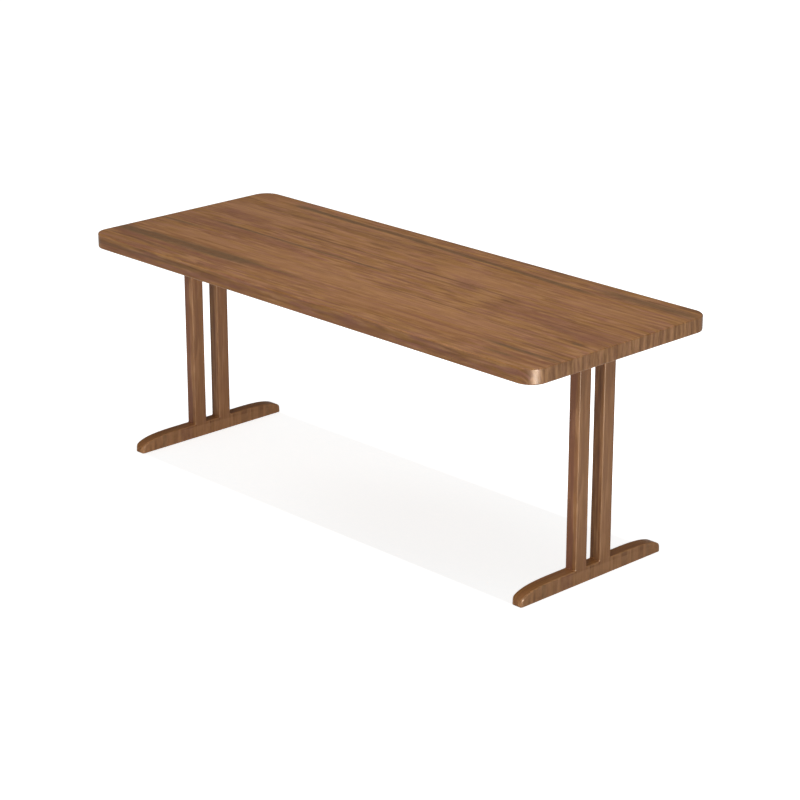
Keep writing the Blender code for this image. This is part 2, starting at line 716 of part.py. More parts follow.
def build_top(walnut, steel, brass):
    """The tabletop with its inserts, and the rail with its own bolts."""
    insert = insert_mesh()
    bolt = bolt_mesh("rail_bolt", BOLT_LENGTH)
    washer = washer_mesh("rail_washer", WASHER_RADIUS, WASHER_THICKNESS)
    spots = {}
    for end, sign in ENDS.items():
        for number, y in enumerate(bolt_offsets(), start=1):
            spots[f"{end}_insert_{number}"] = (sign * TRESTLE_OFFSET, y)
    for number, x in enumerate(rail_bolt_places(), start=1):
        spots[f"rail_insert_{number}"] = (x, 0)
        washer_height = BOLT_SEAT_HEIGHT - FIT_GAP - WASHER_THICKNESS
        place(f"rail_washer_{number}", washer, steel, (x, 0, washer_height))
        place(f"rail_bolt_{number}", bolt, steel, (x, 0, washer_height - FIT_GAP))
    place("tabletop", tabletop_mesh(spots.values()), walnut)
    place("centre_rail", rail_mesh(), walnut)
    for name, (x, y) in spots.items():
        place(name, insert, brass, (x, y, TOP_UNDERSIDE))


def main():
    for old in list(bpy.data.objects):
        bpy.data.objects.remove(old)
    top_walnut = finish("oiled walnut, top", (0.245, 0.135, 0.072), 0.42, 0)
    frame_walnut = finish("oiled walnut, frame", (0.205, 0.115, 0.063), 0.48, 0)
    steel = finish("zinc plated steel", (0.62, 0.62, 0.63), 0.35, 1)
    brass = finish("brass", (0.72, 0.52, 0.24), 0.35, 1)
    nylon = finish("brown nylon", (0.075, 0.048, 0.034), 0.55, 0)
    beech = finish("beech dowel", (0.58, 0.42, 0.27), 0.6, 0)
    build_trestles(frame_walnut, steel, nylon, beech)
    build_top(top_walnut, steel, brass)


main()
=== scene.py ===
"""A rectangular walnut desk: its fine wooden pieces, hardware, finishes, floor, light and camera.

Metres, +Z up. +X runs along the length, -Y is the front, and the origin is on the floor at the middle.
Every wooden surface carries a map called "grain": how far along the grain a point lies, and how far
across it, in metres, as if the veneer were folded over the arrises of the piece.
"""

import math
from collections import namedtuple

import bmesh
import bpy
import numpy as np
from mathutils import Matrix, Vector


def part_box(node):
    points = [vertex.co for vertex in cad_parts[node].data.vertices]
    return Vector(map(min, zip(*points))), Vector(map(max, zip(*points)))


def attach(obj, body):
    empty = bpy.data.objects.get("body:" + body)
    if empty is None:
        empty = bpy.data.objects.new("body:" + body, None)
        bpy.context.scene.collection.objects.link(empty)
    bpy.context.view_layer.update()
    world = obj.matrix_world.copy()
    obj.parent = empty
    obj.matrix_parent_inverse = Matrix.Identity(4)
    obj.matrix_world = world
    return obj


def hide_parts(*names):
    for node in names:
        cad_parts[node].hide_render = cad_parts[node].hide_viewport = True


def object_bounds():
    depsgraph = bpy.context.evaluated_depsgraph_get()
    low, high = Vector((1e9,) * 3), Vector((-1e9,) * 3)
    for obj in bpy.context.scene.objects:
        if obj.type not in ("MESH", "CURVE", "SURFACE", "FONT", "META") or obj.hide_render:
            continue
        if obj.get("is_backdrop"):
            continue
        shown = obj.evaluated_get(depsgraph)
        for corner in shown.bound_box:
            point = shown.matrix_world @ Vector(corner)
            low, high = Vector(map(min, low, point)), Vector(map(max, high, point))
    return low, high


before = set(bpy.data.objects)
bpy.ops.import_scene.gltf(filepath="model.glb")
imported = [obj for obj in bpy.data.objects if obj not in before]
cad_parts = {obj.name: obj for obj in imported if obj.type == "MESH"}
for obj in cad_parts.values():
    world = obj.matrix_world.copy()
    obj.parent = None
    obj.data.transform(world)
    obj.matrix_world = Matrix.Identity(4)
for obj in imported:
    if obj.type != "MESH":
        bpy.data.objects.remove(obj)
cad_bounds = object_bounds()

# Camera: the desk is seen from the front right, a little from above
CAMERA_AZIMUTH = 46.1509
CAMERA_ELEVATION = 19.3676
CAMERA_DISTANCE = 7.5326
CAMERA_TARGET = Vector((0.0699, 0.0, 0.3438))
CAMERA_LENS = 111.143
CAMERA_SENSOR = 36.0

# Tabletop
TOP_CORNER_RADIUS = 0.056
TOP_EDGE_ROUND = 0.0045

# Bars of a trestle and the rail
ARRIS = 0.0035
FOOT_NOSE_LENGTH = 0.170
FOOT_TIP_HEIGHT = 0.0095
FOOT_CORNER_RADIUS = 0.011
FOOT_CORNER_STEPS = 14
TIP_LAND = 0.0015
TIP_ARRIS = 0.0062
TIP_ARRIS_LENGTH = 0.060
BEARER_NOSE_LENGTH = 0.120
BEARER_TIP_HEIGHT = 0.020
RAIL_NOSE_LENGTH = 0.110
RAIL_END_HEIGHT = 0.040
NOSE_FULLNESS = 2.7

# Joints between the uprights and the bars
UPRIGHT_WIDTH = 0.047
SHOULDER_COVE = 0.003
HOUSING_DEPTH = 0.005
TENON_DEPTH = 0.025
TENON_THICKNESS = 0.014
TENON_ROUND = 0.0015
TENON_LEAD = 0.0015
TENON_WIDTH = 0.034
HAIRLINE = 0.00004
MORTISE_SPARE = 0.0008

# Hardware
BOLT_RADIUS = 0.004
BOLT_HEAD_RADIUS = 0.0065
BOLT_HEAD_HEIGHT = 0.008
BOLT_CHAMFER = 0.0006
KNURL = 0.012
SOCKET_FLATS = 0.006
SOCKET_DEPTH = 0.004
THREAD_LENGTH = 0.022
THREAD_PITCH = 0.00125
THREAD_DEPTH = 0.0006
BOLT_HOLE_RADIUS = 0.0045
WASHER_HOLE_RADIUS = 0.0043
WASHER_EASE = 0.0002
COUNTERBORE_CLEARANCE = 0.0005
BOLT_SEAT = 0.028
SLOT_TRAVEL = 0.0035
END_BOLT_RECESS_DEPTH = 0.0106
INSERT_HOLE_SPARE = 0.003
INSERT_RADIUS = 0.006
INSERT_FLANGE_THICKNESS = 0.0014
INSERT_THREAD_PITCH = 0.003
INSERT_THREAD_DEPTH = 0.0006
DOWEL_FLUTE = 0.00025
DOWEL_FLUTES = 12
DOWEL_LEAD = 0.001
DOWEL_DEPTH_IN_BEARER = 0.015
BARREL_SLOT_WIDTH = 0.0016
BARREL_SLOT_DEPTH = 0.0018
BARREL_EASE = 0.0004
GLIDE_HEIGHT = 0.0045
GLIDE_RIM_ROUND = 0.0012
GLIDE_STEM_RADIUS = 0.003
GLIDE_STEM_TIP_RADIUS = 0.0024
DRILL_CLEARANCE = 0.0002
OVERRUN = 0.012

# Where the figure of narrow faces with their own grain begins, and how far that of far faces is moved
EDGE_GRAIN_SHIFT = 40.0
TOP_FAR_FIGURE = 10.0
BAR_FAR_FIGURE = 4.0

# How finely curves are divided
ARRIS_STEPS = 8
COVE_STEPS = 6
CORNER_STEPS = 28
NOSE_STEPS = 44
ROUND_STEPS = 36
BORE_STEPS = 32
THREAD_ROWS = 5
MERGE_DISTANCE = 0.0000013
CUT_SNAP = 0.000001
NEARLY_STRAIGHT = 0.001
SHARP_ANGLE = 33
RUN_OUT_TURN = 0.2

# The axes, the order that puts a turned solid on each of them, and the angles of a quarter round
X, Y, Z = range(3)
TURNED_ORDER = [[2, 0, 1], [1, 2, 0], [0, 1, 2]]
QUARTER = np.linspace(0, math.pi / 2, ARRIS_STEPS + 1)

ENDS = {"left": -1, "right": 1}
DEPTHS = ("front", "back")


def arc(centre, radius, start, end, steps):
    """Points of an arc in a plane, its angles in degrees: the centre plus radius times cosine and sine."""
    angles = np.radians(np.linspace(start, end, steps + 1))
    return np.stack([centre[0] + radius * np.cos(angles), centre[1] + radius * np.sin(angles)], -1)


def nose(half_length, height, nose_length, tip_height):
    """A quarter of a full ellipse from the tip of a bar to its flat face.

    At angle a the point lies at nose length times cosine a, and height times sine a, both raised to
    two over the fullness.
    """
    angles = np.linspace(0, math.pi / 2, NOSE_STEPS + 1)
    power = 2 / NOSE_FULLNESS
    reach = half_length - nose_length + nose_length * np.clip(np.cos(angles), 0, 1) ** power
    rise = tip_height + (height - tip_height) * np.sin(angles) ** power
    return np.stack([reach, rise], -1)


def bar_side(half_length, height, nose_length, tip_height, corner):
    """The right half of a bar seen from its side, from the middle of its flat face round its tip."""
    tip = arc((half_length - corner, corner), corner, -90, 0, ARRIS_STEPS) if corner else [[half_length, 0]]
    return np.concatenate([tip, nose(half_length, height, nose_length, tip_height)])


def joined(stretches):
    """One closed outline of several stretches, and for each edge whether its arris is eased.

    An edge belongs to the stretch of its first point. Points that repeat the one before are left out.
    """
    points = np.concatenate([points for points, _ in stretches])
    eased = np.concatenate([np.full(len(points), float(is_eased)) for points, is_eased in stretches])
    apart = np.linalg.norm(np.roll(points, -1, 0) - points, axis=1) > MERGE_DISTANCE
    return points[apart], eased[apart]


def square_to(edge):
    """Each vector in a plane turned clockwise by a right angle."""
    return np.stack([edge[:, 1], -edge[:, 0]], -1)


def mitres(outline, eased):
    """For each corner of an outline the step that insets its eased edges by one and its crisp ones by none.

    The step m solves a.m = eased(a) and b.m = eased(b), where a and b are the outward normals of the
    two edges that meet there; where they are nearly in line it is their mean. An arris runs out to
    nothing where an eased edge meets a crisp one almost in line.
    """
    edge = np.roll(outline, -1, 0) - outline
    normal = square_to(edge) / np.linalg.norm(edge, axis=1)[:, None]
    before, ease_before = np.roll(normal, 1, 0), np.roll(eased, 1)
    cross = before[:, 0] * normal[:, 1] - before[:, 1] * normal[:, 0]
    straight = np.abs(cross) < NEARLY_STRAIGHT
    safe = np.where(straight, 1, cross)
    solved = (ease_before[:, None] * square_to(normal) - eased[:, None] * square_to(before)) / safe[:, None]
    mean = (before * ease_before[:, None] + normal * eased[:, None]) / 2
    runs_out = (np.abs(cross) < RUN_OUT_TURN) & (ease_before != eased)
    return np.where(runs_out[:, None], 0, np.where(straight[:, None], mean, solved))


def profile(thickness, radius):
    """The edge of a bar from one face to the other, as inset, height off the middle plane and length.

    There is one row for each radius. Along each quarter round at angle a the inset is radius times
    (1 - cosine a), and the height is half the thickness less the radius, plus radius times sine a.
    """
    radius = np.asarray(radius, float).reshape(-1, 1)
    inset = radius * (1 - np.cos(QUARTER))
    height = thickness / 2 - radius + radius * np.sin(QUARTER)
    folded = radius * (math.pi / 2 - QUARTER)
    across = thickness - 2 * radius + math.pi * radius
    pairs = [(inset[:, ::-1], inset), (height[:, ::-1], -height), (folded[:, ::-1], across - folded)]
    return [np.concatenate(pair, 1) for pair in pairs]


def swept(outline, eased, thickness, radius, far_figure=0.0):
    """A bar: the edge profile carried round the outline, and a flat cap on each face.

    The radius of the arrises is one length, or one for each point of the outline. Grain coordinates
    are those of the near face, folded outward over the edge by the length passed; those of the far
    face are moved to another part of the figure. The result is in outline coordinates and height off
    the middle plane.
    """
    radius = np.broadcast_to(radius, len(outline))
    inset, height, folded = profile(thickness, radius)
    step = mitres(outline, eased)
    flat = outline[:, None] - step[:, None] * inset[..., None]
    grain = (outline - step * radius[:, None])[:, None] + step[:, None] * folded[..., None]
    places = np.concatenate([flat, height[..., None]], -1)
    arris = ((inset > 0) & (inset < radius[:, None])).astype(float)
    arris = np.where(np.linalg.norm(step, axis=1)[:, None] > 0, arris, 0.0)
    ring = [np.concatenate([field, field[:1]]) for field in (places, grain, arris)]
    near = (places[:, 0], flat[:, 0], arris[:, 0])
    far = (places[::-1, -1], flat[::-1, -1] + far_figure, arris[::-1, -1])
    return [ring], [near, far]


def edge_grain(shapes):
    """The same bar with upright grain on its broad faces and a grain of its own on its narrow ones.

    On the narrow faces, from mid arris to mid arris, the coordinate along the grain is the length
    passed on the outline, plus a shift to another part of the figure; across it, the height off the
    middle plane.
    """
    ((places, grain, arris),), caps = shapes
    grain = grain[..., ::-1]
    passed = np.linalg.norm(np.diff(places[:, ARRIS_STEPS], axis=0), axis=1)
    along = np.concatenate([[0.0], np.cumsum(passed)])[:, None] + EDGE_GRAIN_SHIFT
    first, last = ARRIS_STEPS // 2, places.shape[1] - ARRIS_STEPS // 2
    rim = np.stack([np.broadcast_to(along, places.shape[:2]), places[..., 2] + EDGE_GRAIN_SHIFT], -1)
    stretches = [(slice(0, first + 1), grain), (slice(first, last), rim), (slice(last - 1, None), grain)]
    grids = [(places[:, part], source[:, part], arris[:, part]) for part, source in stretches]
    return grids, [(cap, figure[..., ::-1], mask) for cap, figure, mask in caps]


def rounded_in_plan(piece, half_length, middle, radius):
    """Rounds the upright corners of a bar along Y: cut across near its tips, each cut drawn in.

    At a place t past the start of the round the bar is narrower, on each side, by the radius less the
    root of (radius squared less t squared).
    """
    shape = bmesh.new()
    shape.from_mesh(piece.data)
    straight = half_length - radius
    for step in range(FOOT_CORNER_STEPS):
        cut = straight + radius * math.sin(math.pi / 2 * step / FOOT_CORNER_STEPS)
        for side in (-cut, cut):
            whole = shape.verts[:] + shape.edges[:] + shape.faces[:]
            plane = {"plane_co": (0, side, 0), "plane_no": (0, 1, 0)}
            bmesh.ops.bisect_plane(shape, geom=whole, dist=CUT_SNAP, **plane)
    half_width = max(vert.co.x for vert in shape.verts) - middle
    for vert in shape.verts:
        beyond = abs(vert.co.y) - straight
        if beyond > 0:
            drawn_in = radius - math.sqrt(max(radius**2 - beyond**2, 0))
            vert.co.x = middle + (vert.co.x - middle) * (1 - drawn_in / half_width)
    shape.to_mesh(piece.data)
    shape.free()


def placed(shapes, order, shift, flip=(1, 1, 1)):
    """The same grids and caps with their axes put in another order, mirrored and moved."""
    flip, shift = np.array(flip), np.array(shift)
    return [[(places[..., order] * flip + shift, *rest) for places, *rest in items] for items in shapes]


def new_object(name, data):
    """A new object of the scene."""
    item = bpy.data.objects.new(name, data)
    bpy.context.collection.objects.link(item)
    return item


def solid(name, shapes, finish=None, slot=None, replaces=()):
    """A closed mesh of grids and caps, their shared points made one; with a finish it rides on the desk."""
    grids, caps = shapes
    fields = [(p.reshape(-1, 3), g.reshape(-1, 2), a.reshape(-1)) for p, g, a in [*grids, *caps]]
    places, grain, arris = (np.concatenate(column) for column in zip(*fields))
    counts = np.cumsum([0] + [len(points) for points, _, _ in fields])
    quads = []
    for start, (_, _, mask) in zip(counts, grids):
        number = start + np.arange(mask.size).reshape(mask.shape)
        around = [number[:-1, :-1], number[:-1, 1:], number[1:, 1:], number[1:, :-1]]
        quads.append(np.stack(around, -1).reshape(-1, 4))
    quads = np.concatenate(quads)
    spots = np.round(places / MERGE_DISTANCE).astype(np.int64)
    _, first, same = np.unique(spots, axis=0, return_index=True, return_inverse=True)
    same = same.reshape(-1)
    differs = same[quads] != same[np.roll(quads, -1, 1)]
    sides = differs.sum(1)
    corners = quads[sides == 4].tolist() + quads[sides == 3][differs[sides == 3]].reshape(-1, 3).tolist()
    for start, end in zip(counts[len(grids) :], counts[len(grids) + 1 :]):
        outline = np.arange(start, end)
        corners.append(outline[same[outline] != same[np.roll(outline, -1)]].tolist())
    mesh = bpy.data.meshes.new(name)
    mesh.from_pydata(places[first].tolist(), [], [same[row].tolist() for row in corners])
    layer = mesh.uv_layers.new(name="grain")
    layer.data.foreach_set("uv", grain[np.concatenate(corners)].astype(np.float32).ravel())
    mask = mesh.attributes.new("arris", "FLOAT", "POINT")
    mask.data.foreach_set("value", arris[first].astype(np.float32))
    shape = bmesh.new()
    shape.from_mesh(mesh)
    bmesh.ops.recalc_face_normals(shape, faces=shape.faces)
    shape.to_mesh(mesh)
    shape.free()
    piece = new_object(name, mesh)
    if finish:
        mesh.materials.append(finish)
        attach(piece, "root")
        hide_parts(*replaces)
    return piece


def smoothed(piece):
    """Round faces shaded smooth and flat ones left flat, with crisp edges where the surface turns."""
    piece.data.shade_smooth()
    piece.data.set_sharp_from_angle(angle=math.radians(SHARP_ANGLE))
    weighted = piece.modifiers.new("true flats", "WEIGHTED_NORMAL")
    weighted.keep_sharp = True


def drilled(piece, cutters):
    """The piece with the space of each cutter taken out of it."""
    for cutter in cutters:
        bore = piece.modifiers.new("bore", "BOOLEAN")
        bore.operation = "DIFFERENCE"
        bore.solver = "EXACT"
        bore.object = cutter
    graph = bpy.context.evaluated_depsgraph_get()
    result = bpy.data.meshes.new_from_object(piece.evaluated_get(graph))
    result.name = piece.name
    piece.modifiers.clear()
    spent = [piece.data]
    piece.data = result
    for cutter in cutters:
        spent.append(cutter.data)
        bpy.data.objects.remove(cutter)
    for mesh in spent:
        bpy.data.meshes.remove(mesh)
    return piece


def turned(rows, axis, centre, sign=1.0, steps=ROUND_STEPS):
    """A solid turned round an axis.

    Each row is a ring: its radius, or one radius for each step round it, and its height. The grain
    runs along the axis, and across it the coordinate is the length round the ring.
    """
    columns = [[np.broadcast_to(value, steps + 1) for value in column] for column in zip(*rows)]
    radii, heights = np.array(columns, float)
    angles = np.linspace(0, 2 * math.pi, steps + 1)
    ring = np.stack([radii * np.cos(angles), radii * np.sin(angles), heights * sign], -1)
    places = ring[..., TURNED_ORDER[axis]] + np.array(centre)
    grain = np.stack([heights, radii.max() * angles + 0 * radii], -1)
    return [(places, grain, np.zeros(radii.shape))], []


def bore_cutter(start, steps, axis, centre, sign=1.0, travel=0.0):
    """A tool for a stepped bore: from its start, each step is a radius and the height where it ends.

    A travel draws it out along Y, both ways, into a slot, so that a bolt may move with the wood.
    """
    rows = [(0, start)]
    for radius, end in steps:
        rows += [(radius, start), (radius, end)]
        start = end
    rows.append((0, start))
    shapes = turned(rows, axis, centre, sign, BORE_STEPS)
    places = shapes[0][0][0]
    side = np.sign(np.round(np.sin(np.linspace(0, 2 * math.pi, BORE_STEPS + 1)), 9))
    places[..., 1] += travel * side * (np.array([radius for radius, _ in rows])[:, None] > 0)
    return solid("cutter", shapes)


def block_cutter(low, high):
    """A tool for a mortise or a slot: a block between two corners, as a square ring carried up."""
    (x0, y0, z0), (x1, y1, z1) = low, high
    middle = [((x0 + x1) / 2, (y0 + y1) / 2)] * 5
    square = [(x0, y0), (x1, y0), (x1, y1), (x0, y1), (x0, y0)]
    levels = [(middle, z0), (square, z0), (square, z1), (middle, z1)]
    places = np.array([[(x, y, z) for x, y in plan] for plan, z in levels])
    return solid("cutter", ([(places, places[..., :2], np.zeros(places.shape[:2]))], []))


class Nodes:
    """Short ways to add nodes to one tree and link them."""

    def __init__(self, tree):
        self.tree = tree

    def put(self, socket, value):
        if isinstance(value, bpy.types.NodeSocket):
            self.tree.links.new(value, socket)
        else:
            socket.default_value = value

    def add(self, kind, inputs=(), **settings):
        node = self.tree.nodes.new("ShaderNode" + kind)
        for name, value in settings.items():
            setattr(node, name, value)
        for name, value in dict(inputs).items():
            self.put(node.inputs[name], value)
        return node

    def math(self, operation, *values, clamp=False):
        return self.add("Math", enumerate(values), operation=operation, use_clamp=clamp).outputs[0]

    def vector(self, operation, *values):
        return self.add("VectorMath", enumerate(values), operation=operation).outputs[0]

    def noise(self, place, stretch, detail=2.0, roughness=0.5):
        stretched = self.vector("MULTIPLY", place, stretch)
        values = {"Vector": stretched, "Scale": 1.0, "Detail": detail, "Roughness": roughness}
        return self.add("TexNoise", values, noise_dimensions="3D").outputs["Fac"]

    def swing(self, *noise):
        return self.math("SUBTRACT", self.noise(*noise), 0.5)

    def ease(self, value, low, high, to_low=0.0, to_high=1.0, course="SMOOTHSTEP"):
        values = {"Value": value, "From Min": low, "From Max": high, "To Min": to_low, "To Max": to_high}
        return self.add("MapRange", values, interpolation_type=course).outputs[0]

    def scale(self, value, low, high, to_low, to_high):
        return self.ease(value, low, high, to_low, to_high, "LINEAR")

    def parts(self, vector):
        return self.add("SeparateXYZ", {"Vector": vector}).outputs

    def blend(self, share, first, second):
        return self.add("Mix", {0: share, 6: first, 7: second}, data_type="RGBA").outputs[2]

    def use(self, effect_name, **values):
        node = self.add("Group", node_tree=bpy.data.node_groups[effect_name])
        for label, value in values.items():
            self.put(node.inputs[label], value)
        return node.outputs


def effect(name, **inputs):
    """A new node group: its nodes, and what its inputs give. Their kinds follow from their usual values."""
    tree = bpy.data.node_groups.new(name, "ShaderNodeTree")
    for label, value in inputs.items():
        kind = {1: "Float", 3: "Vector", 4: "Color"}[np.size(value)]
        socket = tree.interface.new_socket(label, in_out="INPUT", socket_type="NodeSocket" + kind)
        socket.default_value = value
    return Nodes(tree), tree.nodes.new("NodeGroupInput").outputs


def give(nodes, **results):
    """The outputs of an effect, each with its result."""
    kinds = {"VALUE": "Float", "VECTOR": "Vector", "RGBA": "Color"}
    for label, value in results.items():
        kind = "NodeSocket" + kinds[value.type]
        nodes.tree.interface.new_socket(label, in_out="OUTPUT", socket_type=kind)
    end = nodes.tree.nodes.new("NodeGroupOutput")
    for label, value in results.items():
        nodes.put(end.inputs[label], value)


def srgb(red, green, blue):
    """A colour as it looks on a screen, from 0 to 255, in linear light."""
    values = np.array([red, green, blue]) / 255
    linear = np.where(values <= 0.04045, values / 12.92, ((values + 0.055) / 1.055) ** 2.4)
    return (*linear.tolist(), 1.0)


WOOD = {
    "tan": srgb(166, 118, 80),
    "mid": srgb(144, 99, 62),
    "umber": srgb(100, 65, 38),
    "olive": srgb(94, 71, 48),
    "plum": srgb(118, 72, 55),
    "amber": srgb(138, 91, 50),
    "pale": srgb(184, 136, 94),
    "deep": srgb(106, 66, 36),
    "gold": srgb(152, 108, 46),
    "rose": srgb(142, 92, 84),
    "pore": srgb(66, 43, 29),
}

# How strongly oiled wood reflects, against a bare varnish's 0.5, and how deep its relief is
WOOD_SHINE = 0.15
WOOD_RELIEF = 0.00012

# How far a drawn streak strays from its straight line, slowly and quickly
STREAK_WANDER = 0.014
STREAK_FLUTTER = 0.005

# How softly a band of the feet begins and ends
BAND_FADE = 0.0025

# Streaks of the tabletop: tint, from and to along the top, place across it at each, half width, strength
# The tan streaks near the left end also lighten that end: painted light where the lamps leave it darker
TOP_STREAKS_AND_PAINTED_LIGHT = [
    ("amber", -0.96, -0.76, 0.335, 0.335, 0.04, 0.45),
    ("amber", 0.25, 0.7, 0.248, 0.244, 0.022, 0.45),
    ("umber", -0.86, -0.52, 0.232, 0.236, 0.018, 0.32),
    ("umber", -0.58, 0.02, 0.24, 0.236, 0.026, 0.32),
    ("tan", -0.96, -0.56, 0.172, 0.17, 0.034, 0.55),
    ("tan", -0.62, 0.02, 0.196, 0.19, 0.012, 0.4),
    ("tan", 0.06, 0.5, 0.156, 0.146, 0.046, 0.45),
    ("tan", 0.54, 0.92, 0.18, 0.176, 0.05, 0.35),
    ("plum", -0.96, -0.62, 0.106, 0.1, 0.03, 0.55),
    ("plum", -0.96, -0.36, -0.026, -0.028, 0.036, 0.5),
    ("amber", -0.84, -0.34, -0.196, -0.206, 0.028, 0.4),
    ("amber", -0.34, -0.08, -0.276, -0.278, 0.026, 0.4),
    ("amber", 0.04, 0.7, -0.272, -0.28, 0.052, 0.4),
    ("tan", -0.56, 0.05, -0.094, -0.098, 0.03, 0.35),
    ("tan", -0.46, 0.72, -0.168, -0.176, 0.04, 0.45),
    ("tan", -0.16, 0.66, -0.262, -0.266, 0.014, 0.35),
    ("olive", -0.78, -0.2, 0.318, 0.306, 0.012, 0.95),
    ("olive", -0.26, 0.62, 0.306, 0.268, 0.011, 0.95),
    ("umber", -0.5, 0.4, 0.314, 0.282, 0.004, 0.6),
    ("tan", -0.74, -0.16, 0.296, 0.28, 0.01, 0.45),
    ("olive", 0.56, 1.0, 0.318, 0.31, 0.02, 0.7),
    ("umber", 0.34, 0.43, 0.358, 0.356, 0.009, 0.85),
    ("umber", -0.6, -0.34, 0.177, 0.169, 0.008, 0.5),
    ("umber", -0.27, -0.13, 0.184, 0.176, 0.009, 0.5),
    ("umber", -0.09, -0.01, 0.176, 0.168, 0.008, 0.5),
    ("umber", -0.6, 0.02, 0.107, 0.086, 0.005, 0.8),
    ("umber", 0.0, 0.5, 0.086, 0.07, 0.0045, 0.75),
    ("tan", -0.52, -0.36, 0.046, 0.034, 0.009, 0.45),
    ("umber", 0.445, 0.515, 0.044, 0.038, 0.006, 0.85),
    ("umber", 0.58, 0.655, 0.029, 0.05, 0.005, 0.8),
    ("olive", -0.8, 0.02, 0.001, -0.003, 0.0055, 0.85),
    ("umber", 0.22, 0.32, -0.008, -0.01, 0.004, 0.65),
    ("umber", 0.4, 0.5, -0.012, -0.014, 0.004, 0.65),
    ("umber", 0.56, 0.98, -0.017, -0.018, 0.004, 0.65),
    ("plum", 0.74, 0.93, -0.054, -0.048, 0.011, 0.5),
    ("olive", 0.7, 0.84, -0.04, -0.044, 0.005, 0.55),
    ("olive", -0.98, -0.76, -0.086, -0.08, 0.007, 0.7),
    ("umber", 0.05, 0.5, -0.113, -0.115, 0.004, 0.6),
    ("umber", 0.8, 0.93, -0.103, -0.113, 0.005, 0.75),
    ("umber", 0.855, 0.915, -0.1, -0.112, 0.004, 0.75),
    ("olive", 0.87, 0.905, -0.111, -0.113, 0.007, 0.85),
    ("umber", 0.7, 0.98, -0.21, -0.212, 0.004, 0.55),
    ("olive", -1.0, -0.3, -0.255, -0.241, 0.026, 0.95),
    ("olive", -0.38, -0.12, -0.243, -0.235, 0.012, 0.85),
    ("umber", -0.9, -0.42, -0.25, -0.244, 0.008, 0.55),
    ("plum", -0.36, -0.1, -0.25, -0.24, 0.01, 0.7),
    ("plum", -1.0, -0.33, -0.29, -0.296, 0.014, 0.65),
    ("umber", -1.0, -0.64, -0.316, -0.315, 0.0045, 0.75),
    ("plum", 0.25, 0.72, -0.253, -0.255, 0.0045, 0.65),
    ("olive", 0.67, 1.0, -0.262, -0.262, 0.008, 0.85),
    ("plum", 0.76, 1.0, -0.298, -0.296, 0.012, 0.6),
    ("olive", 0.73, 0.86, -0.318, -0.316, 0.008, 0.75),
    ("umber", -0.46, -0.42, -0.353, -0.352, 0.005, 0.75),
    ("olive", -1.0, -0.42, -0.394, -0.388, 0.006, 0.45),
    ("plum", -0.92, -0.64, -0.404, -0.402, 0.008, 0.45),
    ("plum", -0.42, -0.16, -0.396, -0.398, 0.007, 0.45),
    ("umber", 0.06, 0.32, -0.392, -0.394, 0.005, 0.4),
    ("plum", 0.16, 0.4, -0.404, -0.402, 0.01, 0.5),
    ("plum", 0.54, 0.8, -0.398, -0.396, 0.007, 0.45),
    ("amber", -0.96, 0.96, -0.414, -0.414, 0.006, 0.45),
    ("tan", -0.6, 0.05, 0.166, 0.162, 0.006, 0.5),
    ("tan", -0.4, -0.05, 0.13, 0.121, 0.007, 0.6),
    ("tan", -0.9, -0.66, 0.053, 0.06, 0.009, 0.5),
    ("tan", -0.95, -0.66, 0.286, 0.276, 0.01, 0.5),
    ("tan", -0.93, -0.83, -0.226, -0.227, 0.006, 0.5),
    ("tan", -0.82, -0.44, -0.183, -0.187, 0.008, 0.5),
    ("umber", -0.3, 0.62, 0.358, 0.357, 0.007, 0.45),
    ("umber", 0.85, 0.965, 0.358, 0.355, 0.012, 0.85),
    ("plum", 0.55, 0.7, -0.012, -0.015, 0.007, 0.6),
    ("plum", 0.57, 0.67, 0.023, 0.018, 0.006, 0.5),
    ("plum", 0.84, 0.97, -0.08, -0.085, 0.01, 0.5),
    ("umber", 0.54, 0.88, -0.135, -0.134, 0.006, 0.5),
    ("umber", 0.0, 0.24, -0.029, -0.033, 0.005, 0.5),
    ("umber", -0.06, 0.07, -0.266, -0.268, 0.005, 0.5),
    ("plum", 0.82, 0.96, -0.325, -0.326, 0.009, 0.6),
    ("umber", -0.96, 0.96, -0.396, -0.396, 0.03, 0.28),
    ("plum", 0.46, 0.97, 0.004, -0.03, 0.048, 0.4),
    ("tan", -0.88, -0.46, -0.138, -0.15, 0.022, 0.5),
    ("tan", -0.56, -0.44, 0.153, 0.15, 0.009, 0.7),
    ("tan", -0.34, -0.1, -0.355, -0.355, 0.008, 0.5),
    ("tan", 0.08, 0.24, 0.062, 0.06, 0.012, 0.5),
    ("umber", 0.76, 0.9, -0.203, -0.207, 0.006, 0.6),
    ("tan", -0.12, 0.06, 0.118, 0.113, 0.006, 0.6),
    ("tan", -0.88, -0.76, -0.203, -0.206, 0.007, 0.55),
    ("tan", -0.96, -0.82, -0.163, -0.166, 0.01, 0.5),
    ("tan", -0.88, -0.74, 0.326, 0.322, 0.01, 0.5),
]

# Upright bands of the feet: tint, from and to along the foot, strength
FOOT_BANDS = [
    ("tan", -0.3, 0.3, 0.25),
    ("umber", -0.249, -0.242, 0.85),
    ("umber", -0.226, -0.222, 0.5),
    ("olive", -0.215, -0.198, 0.85),
    ("tan", -0.19, -0.178, 0.6),
    ("umber", -0.17, -0.164, 0.5),
    ("plum", -0.136, -0.088, 0.6),
    ("tan", -0.07, -0.03, 0.45),
    ("umber", -0.015, -0.009, 0.8),
    ("umber", 0.01, 0.014, 0.5),
    ("tan", 0.03, 0.07, 0.45),
    ("umber", 0.086, 0.091, 0.55),
    ("umber", 0.123, 0.15, 0.8),
    ("umber", 0.167, 0.173, 0.8),
    ("tan", 0.18, 0.196, 0.5),
    ("umber", 0.205, 0.22, 0.85),
    ("tan", 0.221, 0.229, 0.6),
    ("olive", 0.233, 0.245, 0.85),
    ("umber", 0.24, 0.253, 0.6),
    ("amber", 0.252, 0.28, 0.6),
]


